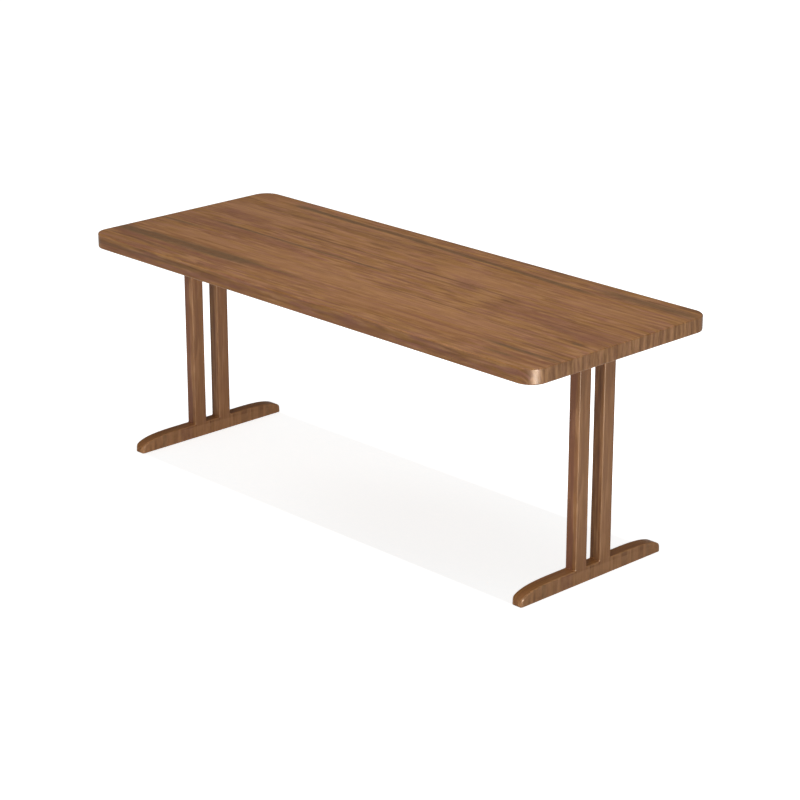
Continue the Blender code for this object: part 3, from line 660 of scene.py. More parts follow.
def make_walnut_effect():
    """Long wavering bands, thin lines, flecks and short pores, drawn out along the grain.

    Every layer is noise stretched by its own amount along and across. The tone runs from dark to light
    heartwood. Over it lie slow patches of amber, plum and olive, the last two in the darker bands, then
    pale and deep flecks, and small touches of gold and rose.
    """
    nodes, given = effect(
        "walnut", Grain=(0, 0, 0), Seed=0.0, Waver=0.01, Zones=0.5, Bands=0.5, Lines=0.4, Flecks=0.3,
        Hues=0.15, Amber=0.0, Light=WOOD["tan"], Middle=WOOD["mid"], Dark=WOOD["umber"],
    )
    seeded = nodes.add("CombineXYZ", {"Z": given["Seed"]}).outputs[0]
    place = nodes.vector("ADD", given["Grain"], seeded)
    waver = nodes.math("MULTIPLY", nodes.swing(place, (0.8, 3.0, 1.0)), given["Waver"])
    quick = nodes.math("MULTIPLY", given["Waver"], 0.18)
    flutter = nodes.math("MULTIPLY", nodes.swing(place, (5.0, 22.0, 1.0)), quick)
    shift = nodes.add("CombineXYZ", {"Y": nodes.math("ADD", waver, flutter)}).outputs[0]
    warped = nodes.vector("ADD", place, shift)
    tone = 0.5
    for layer, stretch, roughness in (
        ("Zones", (0.7, 9.0, 1.0), 0.5),
        ("Bands", (1.3, 45.0, 1.0), 0.6),
        ("Lines", (3.5, 150.0, 1.0), 0.6),
    ):
        swing = nodes.swing(warped, stretch, 2.0, roughness)
        tone = nodes.math("MULTIPLY_ADD", swing, given[layer], tone)
    pores = nodes.ease(nodes.noise(warped, (60.0, 1500.0, 1.0), 1.0), 0.6, 0.74)
    darker = nodes.blend(nodes.ease(tone, 0.12, 0.5), given["Dark"], given["Middle"])
    colour = nodes.blend(nodes.ease(tone, 0.5, 0.88), darker, given["Light"])
    shade = nodes.math("SUBTRACT", 1.0, nodes.ease(tone, 0.25, 0.62))
    amber = nodes.noise(warped, (1.0, 12.0, 17.0), 3.0, 0.6)
    plum = nodes.noise(warped, (1.6, 34.0, 2.0))
    olive = nodes.noise(warped, (1.4, 30.0, 9.0))
    flecks = nodes.noise(warped, (9.0, 84.0, 1.0), 1.0, 0.6)
    hues = nodes.noise(warped, (10.0, 80.0, 6.0), 1.0, 0.6)
    for tint, figure, none, full, share in (
        ("amber", amber, 0.42, 0.62, given["Amber"]),
        ("plum", plum, 0.5, 0.68, nodes.math("MULTIPLY", shade, 0.3)),
        ("olive", olive, 0.52, 0.7, nodes.math("MULTIPLY", shade, 0.5)),
        ("pale", flecks, 0.5, 0.68, given["Flecks"]),
        ("deep", flecks, 0.5, 0.32, given["Flecks"]),
        ("gold", hues, 0.5, 0.66, given["Hues"]),
        ("rose", hues, 0.5, 0.34, given["Hues"]),
    ):
        mask = nodes.math("MULTIPLY", nodes.ease(figure, none, full), share)
        colour = nodes.blend(mask, colour, WOOD[tint])
    colour = nodes.blend(nodes.math("MULTIPLY", pores, 0.35), colour, WOOD["pore"])
    give(nodes, Color=colour, Tone=tone, Pores=pores, Warped=warped)


def make_streak_effect():
    """A mask along one drawn streak: full on its line, and gone at its half width and past its ends."""
    nodes, given = effect(
        "streak", Along=0.0, Across=0.0, Torn=1.0, Patchy=1.0, From=-1.0, To=1.0, Fade=0.1, Line=0.0,
        Slope=0.0, Half=0.01, Strength=1.0,
    )
    line = nodes.math("MULTIPLY_ADD", given["Along"], given["Slope"], given["Line"])
    off = nodes.math("ABSOLUTE", nodes.math("SUBTRACT", given["Across"], line))
    width = nodes.math("MULTIPLY", given["Half"], given["Torn"])
    body = nodes.ease(nodes.math("DIVIDE", off, width), 0.2, 1.0, 1.0, 0.0)
    enters = nodes.math("SUBTRACT", given["Along"], given["From"])
    leaves = nodes.math("SUBTRACT", given["To"], given["Along"])
    inside = nodes.math("DIVIDE", nodes.math("MINIMUM", enters, leaves), given["Fade"])
    mask = nodes.math("MULTIPLY", body, nodes.ease(inside, -0.5, 1.0))
    mask = nodes.math("MULTIPLY", mask, given["Patchy"])
    give(nodes, Mask=nodes.math("MULTIPLY", mask, given["Strength"], clamp=True))


def make_polish_effect():
    """Oiled wood's sheen: a little duller in the pores and dark bands, more polished on the arrises."""
    nodes, given = effect("oil polish", Tone=0.5, Pores=0.0, Warped=(0, 0, 0), Arris=0.0, Gloss=0.4)
    smears = nodes.noise(given["Warped"], (6.0, 9.0, 1.0), 3.0)
    rough = nodes.math("ADD", given["Gloss"], nodes.scale(smears, 0.3, 0.7, -0.04, 0.05))
    rough = nodes.math("MULTIPLY_ADD", given["Pores"], 0.12, rough)
    rough = nodes.math("MULTIPLY_ADD", given["Arris"], -0.04, rough)
    rough = nodes.math("ADD", rough, nodes.scale(given["Tone"], 0.2, 0.8, 0.03, -0.03))
    height = nodes.math("MULTIPLY_ADD", given["Pores"], -1.0, nodes.math("MULTIPLY", given["Tone"], 0.5))
    give(nodes, Roughness=rough, Height=height)


def new_material(name):
    """An empty material: itself, its nodes and the inputs of its shader."""
    material = bpy.data.materials.new(name)
    material.use_nodes = True
    nodes = Nodes(material.node_tree)
    return material, nodes, material.node_tree.nodes["Principled BSDF"].inputs


def new_wood(name):
    """An empty material, with the map of its grain."""
    material, nodes, shader = new_material(name)
    return material, nodes, shader, nodes.add("UVMap", uv_map="grain").outputs[0]


def finish_wood(nodes, shader, colour, grown, gloss, wear_and_highlight):
    """Colour, sheen and relief of one walnut put on its shader; its arrises are paled, partly as wear and
    partly as a painted highlight.
    """
    arris = nodes.add("Attribute", attribute_name="arris").outputs["Fac"]
    # Paled arrises in patches: worn edges, and a painted highlight along the round edges
    patchy_wear_and_highlight = nodes.scale(nodes.noise(grown["Warped"], (40.0, 60.0, 1.0)), 0.3, 0.7, 0.5, 1.0)
    worn_and_highlit = nodes.math("MULTIPLY", nodes.math("MULTIPLY", arris, wear_and_highlight), patchy_wear_and_highlight)
    passed = {label: grown[label] for label in ("Tone", "Pores", "Warped")}
    sheen = nodes.use("oil polish", Arris=arris, Gloss=gloss, **passed)
    relief = nodes.add("Bump", {"Height": sheen["Height"], "Distance": WOOD_RELIEF, "Strength": 0.5})
    nodes.put(shader["Base Color"], nodes.blend(worn_and_highlit, colour, WOOD["pale"]))
    nodes.put(shader["Roughness"], sheen["Roughness"])
    nodes.put(shader["Normal"], relief.outputs[0])
    shader["Specular IOR Level"].default_value = WOOD_SHINE


def streak_masks(nodes, grain):
    """The mask of each drawn streak, with its tint; all share one wander, torn edge and patchiness."""
    parts = nodes.parts(grain)
    across = nodes.math("MULTIPLY_ADD", nodes.swing(grain, (2.2, 7.0, 1.0)), STREAK_WANDER, parts["Y"])
    across = nodes.math("MULTIPLY_ADD", nodes.swing(grain, (9.0, 40.0, 1.0)), STREAK_FLUTTER, across)
    coarse = nodes.noise(grain, (2.6, 150.0, 1.0), 3.0, 0.6)
    fibres = nodes.noise(grain, (7.0, 620.0, 1.0), 2.0, 0.6)
    torn = nodes.math("ADD", nodes.scale(coarse, 0.3, 0.7, 0.4, 1.5), nodes.scale(fibres, 0.3, 0.7, 0.1, 1.2))
    patchy = nodes.scale(nodes.noise(grain, (3.5, 90.0, 1.0)), 0.3, 0.62, 0.75, 1.3)
    for tint, begin, stop, line_begin, line_stop, half_width, strength in TOP_STREAKS_AND_PAINTED_LIGHT:
        slope = (line_stop - line_begin) / (stop - begin)
        streak = nodes.use(
            "streak", Along=parts["X"], Across=across, Torn=torn, Patchy=patchy, From=begin, To=stop,
            Fade=min(0.10, (stop - begin) / 3), Line=line_begin - slope * begin, Slope=slope, Half=half_width,
            Strength=strength,
        )
        yield streak["Mask"], WOOD[tint]


def top_walnut():
    """The top's figure: quiet walnut, long streaks drawn over it, some painting light on its left end, and
    finely striped end edges.
    """
    material, nodes, shader, grain = new_wood("tabletop walnut")
    grown = nodes.use(
        "walnut", Grain=grain, Seed=3.1, Waver=0.020, Zones=0.35, Bands=0.8, Lines=1.5, Flecks=0.50,
        Hues=0.42, Amber=0.45,
    )
    colour = grown["Color"]
    for mask, tint in streak_masks(nodes, grain):
        colour = nodes.blend(mask, colour, tint)
    along = nodes.math("ABSOLUTE", nodes.parts(grain)["X"])
    half = box_of("tabletop").size[0] / 2
    on_end = nodes.ease(along, half - TOP_EDGE_ROUND, half + TOP_EDGE_ROUND)
    stripes = nodes.noise(grain, (9.0, 68.0, 1.0), 3.0, 0.7)
    boards = nodes.noise(grain, (3.0, 14.0, 4.0), 2.0, 0.6)
    striped = nodes.blend(nodes.ease(stripes, 0.3, 0.7), srgb(116, 77, 42), srgb(194, 142, 96))
    striped = nodes.blend(nodes.ease(boards, 0.5, 0.66, 0.0, 0.55), striped, WOOD["amber"])
    striped = nodes.blend(nodes.ease(boards, 0.34, 0.46, 0.55, 0.0), striped, WOOD["plum"])
    colour = nodes.blend(nodes.math("MULTIPLY", on_end, 0.7), colour, striped)
    finish_wood(nodes, shader, colour, grown, 0.40, 0.22)
    return material


def trestle_walnut():
    """Walnut of the feet and uprights, its grain upright, with the bands that cross the feet.

    On the narrow faces of the feet, where the place across the grain is large, its lines and flecks
    are calmer.
    """
    material, nodes, shader, grain = new_wood("trestle walnut")
    across = nodes.parts(grain)["Y"]
    flecks = nodes.ease(across, 1.0, EDGE_GRAIN_SHIFT / 2, 0.7, 0.12)
    lines = nodes.ease(across, 1.0, EDGE_GRAIN_SHIFT / 2, 1.8, 0.7)
    grown = nodes.use(
        "walnut", Grain=grain, Seed=7.7, Waver=0.006, Zones=0.5, Bands=0.9, Lines=lines, Flecks=flecks,
        Hues=0.12, Amber=0.3, Light=srgb(162, 114, 70), Middle=srgb(138, 94, 54), Dark=srgb(96, 63, 36),
    )
    colour = grown["Color"]
    for tint, begin, stop, strength in FOOT_BANDS:
        enters = nodes.ease(across, begin - BAND_FADE, begin + BAND_FADE)
        leaves = nodes.ease(across, stop - BAND_FADE, stop + BAND_FADE, strength, 0.0)
        colour = nodes.blend(nodes.math("MULTIPLY", enters, leaves), colour, WOOD[tint])
    # Strongly paled arrises: wear, and a painted highlight in place of the bright lines along the round edges
    finish_wood(nodes, shader, colour, grown, 0.37, 0.6)
    return material


def plain_walnut():
    """Straight-grained walnut of the hidden bearers and the rail."""
    material, nodes, shader, grain = new_wood("straight walnut")
    grown = nodes.use("walnut", Grain=grain, Seed=12.4, Waver=0.008, Lines=0.6, Dark=srgb(100, 68, 48))
    finish_wood(nodes, shader, grown["Color"], grown, 0.5, 0.4)
    return material


def beech():
    """Pale dowel wood with fine rays."""
    material, nodes, shader, grain = new_wood("beech")
    tones = {"Light": srgb(222, 190, 150), "Middle": srgb(205, 170, 130), "Dark": srgb(176, 140, 104)}
    grown = nodes.use("walnut", Grain=grain, Seed=21.0, Lines=0.8, **tones)
    nodes.put(shader["Base Color"], grown["Color"])
    shader["Roughness"].default_value = 0.6
    return material


def cloudy(name, dark, light, clouds, marks, sheen, depth, metallic=0.0):
    """A plain stuff with cloudy patches in its colour, and fine marks in its sheen and its relief."""
    material, nodes, shader = new_material(name)
    place = nodes.add("TexCoord").outputs["Object"]
    patches = nodes.noise(place, (clouds,) * 3, 3.0)
    marked = nodes.noise(place, *marks)
    relief = nodes.add("Bump", {"Height": marked, "Distance": depth, "Strength": 0.4})
    nodes.put(shader["Base Color"], nodes.blend(nodes.ease(patches, 0.3, 0.7), dark, light))
    nodes.put(shader["Roughness"], nodes.scale(marked, 0.3, 0.7, *sheen))
    nodes.put(shader["Normal"], relief.outputs[0])
    shader["Metallic"].default_value = metallic
    return material


def metal(name, colour):
    """Plated metal with faint turning marks and cloudy patches."""
    dark = (*(channel * 0.72 for channel in colour[:3]), 1.0)
    return cloudy(name, dark, colour, 260.0, ((300.0, 300.0, 5200.0), 2.0), (0.24, 0.4), 0.00003, 1.0)


def nylon():
    """Dark brown moulded plastic, softly mottled."""
    dark, light = srgb(60, 44, 34), srgb(78, 58, 46)
    return cloudy("glide nylon", dark, light, 420.0, ((420.0, 420.0, 420.0), 3.0), (0.45, 0.6), 0.00005)


Box = namedtuple("Box", "name low high middle size")


def box_of(name):
    """The name of a node with its lowest corner, highest corner, middle and size."""
    low, high = (np.array(corner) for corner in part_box(name))
    return Box(name, low, high, (low + high) / 2, high - low)


def make_tabletop(finish):
    """The slab: a rounded rectangle with both rims eased, bored from below for the inserts."""
    top = box_of("tabletop")
    half = top.size[:2] / 2 - TOP_CORNER_RADIUS
    corners = [
        (arc(half * signs, TOP_CORNER_RADIUS, 90 * turn, 90 * turn + 90, CORNER_STEPS), True)
        for turn, signs in enumerate(([1, 1], [-1, 1], [-1, -1], [1, -1]))
    ]
    slab = placed(swept(*joined(corners), top.size[2], TOP_EDGE_ROUND, TOP_FAR_FIGURE), [0, 1, 2], top.middle)
    piece = solid("desk_top", slab, finish, "tabletop_walnut", ["tabletop"])
    tools = []
    for node in sorted(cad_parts):
        if "insert" in node:
            insert = box_of(node)
            flange = (insert.size[0] / 2 + DRILL_CLEARANCE, INSERT_FLANGE_THICKNESS + DRILL_CLEARANCE)
            bore = (INSERT_RADIUS + DRILL_CLEARANCE, insert.size[2] + INSERT_HOLE_SPARE)
            tools.append(bore_cutter(-OVERRUN, [flange, bore], Z, (*insert.middle[:2], top.low[2])))
    smoothed(drilled(piece, tools))


def upright_levels(height):
    """Heights above the foot's top for the lower half of an upright: its mitre, its cove and its middle."""
    mitre = -ARRIS * (1 - np.cos(QUARTER))[::-1]
    cove = SHOULDER_COVE * (1 - np.cos(np.linspace(0, math.pi / 2, COVE_STEPS + 1)))
    return np.concatenate([[-HOUSING_DEPTH], mitre, cove[1:], [height / 2]])


def upright_section(levels, thickness):
    """Half width and half thickness round one corner of an upright, for each level and arris step.

    The inset d of an arris point is at least its depth below the foot's top, which makes the mitre.
    Beside the cove the point lies at the cove's centre less the root of (cove + d) squared less the
    height below that centre squared; above it, at the upright's side less d.
    """
    depth = -levels[:, None]
    inset = np.maximum(ARRIS * (1 - np.cos(QUARTER)), depth)
    rounded = np.sqrt(np.clip(ARRIS**2 - np.clip(ARRIS - inset, 0, None) ** 2, 0, None))
    half_x = thickness / 2 - ARRIS + rounded
    below = np.clip(SHOULDER_COVE + depth, 0, None)
    side = UPRIGHT_WIDTH / 2 + SHOULDER_COVE
    half_y = side - np.sqrt(np.clip((SHOULDER_COVE + inset) ** 2 - below**2, 0, None))
    housed = np.minimum(half_y, side - HAIRLINE)
    return np.minimum(half_x, thickness / 2), np.where(levels[:, None] < 0, housed, half_y)


def make_upright(name, node, foot_top, bearer_underside, finish):
    """An upright: rings of rounded section carried up from tenon to tenon, spreading at its shoulders."""
    box = box_of(node)
    levels = upright_levels(bearer_underside - foot_top)
    tenon_x = TENON_THICKNESS / 2 - TENON_ROUND * (1 - np.sin(QUARTER))
    tenon_y = TENON_WIDTH / 2 - TENON_ROUND * (1 - np.cos(QUARTER))
    reach = foot_top - box.low[2]
    housing = -HOUSING_DEPTH + HAIRLINE
    all_levels = np.concatenate([[-reach, -reach, -reach + TENON_LEAD, housing, housing], levels[1:]])
    heights = np.concatenate([foot_top + all_levels, (bearer_underside - all_levels[::-1])[1:]])[:, None]
    scales = np.array([0.0, 1 - TENON_LEAD / TENON_THICKNESS, 1.0, 1.0])[:, None]
    halves = []
    for tenon, half in zip((tenon_x, tenon_y), upright_section(levels, box.size[0])):
        lower = np.concatenate([scales * tenon, half])
        halves.append(np.concatenate([lower, lower[::-1][1:]]))
    steps = np.arange(ARRIS_STEPS + 1)
    order = np.concatenate([steps[::-1], steps, steps[::-1], steps, steps[-1:]])
    sign_x, sign_y = (np.append(np.repeat(s, len(steps)), -1) for s in ((-1, 1, 1, -1), (-1, -1, 1, 1)))
    places = np.stack([sign_x * halves[0][:, order], sign_y * halves[1][:, order], heights + 0 * order], -1)
    places = places + np.array([*box.middle[:2], 0])
    quarter = ARRIS * (math.pi / 2 - QUARTER)
    end_face = box.size[0] - 2 * ARRIS + 2 * quarter[0]
    away = [end_face - quarter[::-1], quarter, quarter[::-1], end_face - quarter]
    away = np.concatenate([*away, [end_face + (UPRIGHT_WIDTH - 2 * ARRIS)]])
    across = box.middle[1] + np.append(sign_y[:-1], 1) * (halves[1][:, -1:] + away)
    grain = np.stack([heights + 0 * order, across], -1)
    arris = np.broadcast_to((order > 0) & (order < ARRIS_STEPS), across.shape).astype(float)
    smoothed(solid(name, ([(places, grain, arris)], []), finish, "upright_walnut", [node]))


def upright_seats(end):
    """Where the uprights of a trestle stand along Y, from the back one to the front one."""
    return sorted((box_of(f"{end}_{depth}_upright").middle[1] for depth in DEPTHS), reverse=True)


def bar_outline(half_length, height, nose_length, tip_height, corner, seats, flat_is_eased):
    """A whole bar seen from its side, and which of its edges are eased.

    The shallow seats of the uprights are crisp; each runs from its far side to its near side.
    """
    right = bar_side(half_length, height, nose_length, tip_height, corner)
    left = right[::-1] * np.array([-1, 1])
    stretches = [(right[:-1], True), (right[-1:], True)]
    wall = UPRIGHT_WIDTH / 2 + SHOULDER_COVE + HAIRLINE
    floor = height - HOUSING_DEPTH
    for seat in seats:
        stretches.append(([(seat + wall, height), (seat + wall, floor), (seat - wall, floor)], False))
        stretches.append(([(seat - wall, height)], True))
    stretches += [(left[:-1], True), (left[-1:], flat_is_eased)]
    return joined(stretches)


def mortise_cutters(x, seats, face, sign):
    """Blind slots for the tenons, from the housing's floor into the bar."""
    floor = face - sign * HOUSING_DEPTH
    low_z, high_z = sorted((floor - sign * (TENON_DEPTH + MORTISE_SPARE), floor + sign * OVERRUN))
    half_x, half_y = TENON_THICKNESS / 2 + DRILL_CLEARANCE, TENON_WIDTH / 2 + DRILL_CLEARANCE
    return [block_cutter((x - half_x, y - half_y, low_z), (x + half_x, y + half_y, high_z)) for y in seats]


def make_foot(end, finish):
    """A foot: flat below, a full curved nose at each end, its arrises swept round the whole outline."""
    node = f"{end}_foot"
    foot = box_of(node)
    middle, half_length = foot.middle[0], foot.size[1] / 2
    seats = upright_seats(end)
    nose_sizes = (FOOT_NOSE_LENGTH, FOOT_TIP_HEIGHT, ARRIS + TIP_LAND)
    outline, eased = bar_outline(half_length, foot.size[2], *nose_sizes, seats, True)
    to_tip = np.clip((np.abs(outline[:, 0]) - half_length) / TIP_ARRIS_LENGTH + 1, 0, 1)
    grows = np.where(outline[:, 1] > FOOT_TIP_HEIGHT - MERGE_DISTANCE, to_tip, 0)
    radius = ARRIS + (TIP_ARRIS - ARRIS) * grows
    bar = placed(edge_grain(swept(outline, eased, foot.size[0], radius)), [2, 0, 1], (middle, 0, foot.low[2]))
    piece = solid(f"{node}_bar", bar, finish, "foot_walnut", [node])
    rounded_in_plan(piece, half_length, middle, FOOT_CORNER_RADIUS)
    tools = mortise_cutters(middle, seats, foot.high[2], 1)
    for depth in DEPTHS:
        glide = box_of(f"{end}_{depth}_glide")
        pad = (glide.size[0] / 2 + DRILL_CLEARANCE, GLIDE_HEIGHT + DRILL_CLEARANCE)
        stem = (GLIDE_STEM_RADIUS + DRILL_CLEARANCE, glide.high[2] + MORTISE_SPARE)
        tools.append(bore_cutter(-OVERRUN, [pad, stem], Z, (*glide.middle[:2], 0)))
    smoothed(drilled(piece, tools))


def hung(name, node, outline, eased, thickness, order, x, finish, slot):
    """A bar made upside down under the top, its outline's flat face uppermost."""
    bar = swept(outline, eased, thickness, ARRIS, BAR_FAR_FIGURE)
    bar = placed(bar, order, (x, 0, box_of(node).high[2]), (1, 1, -1))
    return solid(name, bar, finish, slot, [node])


def top_bolt_hole(bar, washer_node, travel=0.0):
    """A counterbored hole up through a bar for one of the bolts of the top, which may be a slot."""
    washer = box_of(washer_node)
    recess = (washer.size[0] / 2 + COUNTERBORE_CLEARANCE, box_of("tabletop").low[2] - BOLT_SEAT)
    hole = (BOLT_HOLE_RADIUS, bar.high[2] + OVERRUN)
    return bore_cutter(bar.low[2] - OVERRUN, [recess, hole], Z, (*washer.middle[:2], 0), travel=travel)


def inner_end(box):
    """How far from the middle of the desk a piece begins."""
    return min(abs(box.low[0]), abs(box.high[0]))


def dowel_cutters(end, start, stop, x):
    """The bores for the two dowels at one end of the rail, towards the middle of the desk."""
    tools = []
    for level in ("lower", "upper"):
        dowel = box_of(f"{end}_{level}_dowel")
        bore = (dowel.size[1] / 2 + DRILL_CLEARANCE, stop)
        tools.append(bore_cutter(start, [bore], X, (x, 0, dowel.middle[2]), -ENDS[end]))
    return tools


def make_bearer(end, finish):
    """A bearer: the foot's form upside down, crisp where it meets the top, bored for its fasteners."""
    node = f"{end}_bearer"
    bearer = box_of(node)
    middle = bearer.middle[0]
    seats = upright_seats(end)
    nose_sizes = (BEARER_NOSE_LENGTH, BEARER_TIP_HEIGHT, 0)
    outline = bar_outline(bearer.size[1] / 2, bearer.size[2], *nose_sizes, seats, False)
    piece = hung(f"{node}_bar", node, *outline, bearer.size[0], [2, 0, 1], middle, finish, "bearer_walnut")
    tools = mortise_cutters(middle, seats, bearer.low[2], -1)
    for number, travel in enumerate((SLOT_TRAVEL, 0.0, 0.0, SLOT_TRAVEL), 1):
        tools.append(top_bolt_hole(bearer, f"{end}_top_washer_{number}", travel))
    half = bearer.size[0] / 2
    hole = (BOLT_HOLE_RADIUS, half - END_BOLT_RECESS_DEPTH)
    recess = (box_of(f"{end}_end_washer").size[1] / 2 + COUNTERBORE_CLEARANCE, half + OVERRUN)
    height = box_of(f"{end}_end_bolt").middle[2]
    tools.append(bore_cutter(-half - OVERRUN, [hole, recess], X, (middle, 0, height), ENDS[end]))
    tools += dowel_cutters(end, half - DOWEL_DEPTH_IN_BEARER - DRILL_CLEARANCE, half + OVERRUN, middle)
    smoothed(drilled(piece, tools))


def make_rail(finish):
    """The rail: crisp above and at its ends, its lower edge curving up to the bearers."""
    rail = box_of("centre_rail")
    half = rail.size[0] / 2
    right = bar_side(half, rail.size[2], RAIL_NOSE_LENGTH, RAIL_END_HEIGHT, 0)
    left = right[::-1] * np.array([-1, 1])
    outline = joined([(right[:1], False), (right[1:], True), (left[:-2], True), (left[-2:], False)])
    piece = hung("rail_bar", "centre_rail", *outline, rail.size[1], [0, 2, 1], 0, finish, "rail_walnut")
    tools = [top_bolt_hole(rail, f"rail_washer_{number}") for number in range(1, 4)]
    for end, sign in ENDS.items():
        nut, bolt = box_of(f"{end}_barrel_nut"), box_of(f"{end}_end_bolt")
        depth = half - min(inner_end(bolt) - MORTISE_SPARE, abs(nut.middle[0]) - nut.size[0] / 2)
        face = sign * half
        bore = (BOLT_HOLE_RADIUS, depth)
        tools.append(bore_cutter(-OVERRUN, [bore], X, (face, 0, bolt.middle[2]), -sign))
        bore = (nut.size[0] / 2 + DRILL_CLEARANCE, rail.size[1])
        centre = (nut.middle[0], 0, nut.middle[2])
        tools.append(bore_cutter(-nut.size[1] / 2 - DRILL_CLEARANCE, [bore], Y, centre))
        depth = half - inner_end(box_of(f"{end}_lower_dowel")) + DRILL_CLEARANCE
        tools += dowel_cutters(end, -OVERRUN, depth, face)
    smoothed(drilled(piece, tools))


def hexagon(flats):
    """Distance to the side of a hexagon at each angle round it: half the flats over a cosine."""
    angles = np.linspace(0, 2 * math.pi, ROUND_STEPS + 1)
    return flats / 2 / np.cos((angles + math.pi / 6) % (math.pi / 3) - math.pi / 6)


def eased_rim(radius, low, high, ease):
    """The rings of a short cylinder's side, with both its edges eased."""
    return [(radius - ease, low), (radius, low + ease), (radius, high - ease), (radius - ease, high)]


def thread(begin, stop, count, pitch, radius, depth, sharpness=1):
    """The rings of a screw thread.

    The radius falls by the thread's depth times how far the height, less a pitch for each turn of the
    angle, is from the middle of its pitch; a sharper thread reaches its whole depth sooner.
    """
    turn = np.linspace(0, 1, ROUND_STEPS + 1)
    for height in np.linspace(begin, stop, count):
        phase = (height / pitch - turn) % 1
        yield radius - depth * np.minimum(1, sharpness * np.abs(2 * phase - 1)), height


def bolt_shape(box):
    """A socket-head bolt: a ring for each height, with a hexagon inside its knurled head."""
    axis = X if "end" in box.name.split("_") else Z
    length = box.size[axis] - BOLT_HEAD_HEIGHT
    sign = -1 if axis == Z else ENDS[box.name.split("_")[0]]
    centre = np.array(box.middle)
    outermost = box.low[2] if axis == Z else sign * max(abs(box.low[0]), abs(box.high[0]))
    centre[axis] = outermost - sign * BOLT_HEAD_HEIGHT
    socket = hexagon(SOCKET_FLATS)
    head = -BOLT_HEAD_HEIGHT
    knurl = BOLT_HEAD_RADIUS * (1 - KNURL * (np.arange(ROUND_STEPS + 1) % 2))
    count = round((THREAD_LENGTH - THREAD_PITCH) / THREAD_PITCH) * THREAD_ROWS
    begin, stop = length - THREAD_LENGTH + THREAD_PITCH / 2, length - THREAD_PITCH / 2
    rows = [
        (0, head + SOCKET_DEPTH),
        (socket, head + SOCKET_DEPTH),
        (socket, head + BOLT_CHAMFER / 2),
        (socket + BOLT_CHAMFER / 2, head),
        (BOLT_HEAD_RADIUS - BOLT_CHAMFER, head),
        (knurl, head + BOLT_CHAMFER),
        (knurl, -BOLT_CHAMFER),
        (BOLT_HEAD_RADIUS - BOLT_CHAMFER / 2, 0.0),
        (BOLT_RADIUS, 0.0),
        (BOLT_RADIUS, length - THREAD_LENGTH),
        *thread(begin, stop, count, THREAD_PITCH, BOLT_RADIUS, THREAD_DEPTH),
        (BOLT_RADIUS - THREAD_DEPTH - BOLT_CHAMFER / 2, length),
        (0, length),
    ]
    return turned(rows, axis, centre, -sign)


def washer_shape(box):
    """A flat ring with eased edges, closed round its hole."""
    axis = X if "end" in box.name.split("_") else Z
    thickness, radius = box.size[axis], max(box.size) / 2
    ease, hole = WASHER_EASE, WASHER_HOLE_RADIUS
    rows = [
        (hole, ease),
        (hole + ease, 0),
        *eased_rim(radius, 0, thickness, ease),
        (hole + ease, thickness),
        (hole, thickness - ease),
        (hole, ease),
    ]
    centre = np.array(box.middle)
    centre[axis] = box.low[axis]
    return turned(rows, axis, centre)


def insert_shape(box):
    """A threaded sleeve: a thin flange and a coarse wood thread outside, a plain bore inside."""
    ease, hole, flange, length = WASHER_EASE, WASHER_HOLE_RADIUS, box.size[0] / 2, box.size[2]
    root = INSERT_RADIUS - INSERT_THREAD_DEPTH
    begin, stop = INSERT_FLANGE_THICKNESS + INSERT_THREAD_DEPTH, length - INSERT_THREAD_DEPTH
    count = round((stop - begin) / INSERT_THREAD_PITCH) * THREAD_ROWS * 2
    rows = [
        (hole, ease),
        (hole + ease, 0.0),
        (flange - ease, 0.0),
        (flange, ease),
        (flange, INSERT_FLANGE_THICKNESS),
        (root, INSERT_FLANGE_THICKNESS),
        *thread(begin, stop, count, INSERT_THREAD_PITCH, INSERT_RADIUS, INSERT_THREAD_DEPTH, 3),
        (root, length),
        (hole, length),
        (hole, ease),
    ]
    return turned(rows, Z, (*box.middle[:2], box.low[2]))


def dowel_shape(box):
    """A fluted dowel: its radius falls by a flute's depth times half of one plus the cosine of the flutes."""
    angles = np.linspace(0, 2 * math.pi, 2 * ROUND_STEPS + 1)
    half, radius = box.size[0] / 2, box.size[1] / 2
    fluted = radius - DOWEL_FLUTE * (1 + np.cos(DOWEL_FLUTES * angles)) / 2
    rows = [
        (0, -half),
        (radius - DOWEL_LEAD, -half),
        (fluted, -half + DOWEL_LEAD),
        (fluted, half - DOWEL_LEAD),
        (radius - DOWEL_LEAD, half),
        (0, half),
    ]
    return turned(rows, X, box.middle, steps=2 * ROUND_STEPS)


def nut_shape(box):
    """A cross nut: a short eased cylinder along Y."""
    half, radius = box.size[1] / 2, box.size[0] / 2
    rows = [(0, -half), *eased_rim(radius, -half, half, BARREL_EASE), (0, half)]
    return turned(rows, Y, box.middle)


def nut_cutters(box):
    """The hole of the bolt that crosses a cross nut, and the driver's slot in its open end."""
    x, y, z = box.middle
    reach = box.size[0] / 2 + OVERRUN
    bolt_height = box_of(box.name.replace("barrel_nut", "end_bolt")).middle[2]
    low = (x - reach, box.high[1] - BARREL_SLOT_DEPTH, z - BARREL_SLOT_WIDTH / 2)
    high = (x + reach, box.high[1] + OVERRUN, z + BARREL_SLOT_WIDTH / 2)
    hole = bore_cutter(-reach, [(WASHER_HOLE_RADIUS, reach)], X, (x, y, bolt_height))
    return [hole, block_cutter(low, high)]


def glide_shape(box):
    """A moulded glide: a flat foot with a round rim, and a tapered stem above it."""
    radius = box.size[0] / 2
    rim = arc((radius - GLIDE_RIM_ROUND, GLIDE_RIM_ROUND), GLIDE_RIM_ROUND, -90, 0, ARRIS_STEPS)
    rows = [(0, 0), *rim.tolist(), (radius, GLIDE_HEIGHT), (GLIDE_STEM_RADIUS, GLIDE_HEIGHT)]
    rows += [(GLIDE_STEM_TIP_RADIUS, box.high[2]), (0, box.high[2])]
    return turned(rows, Z, (*box.middle[:2], box.low[2]), steps=2 * ROUND_STEPS)


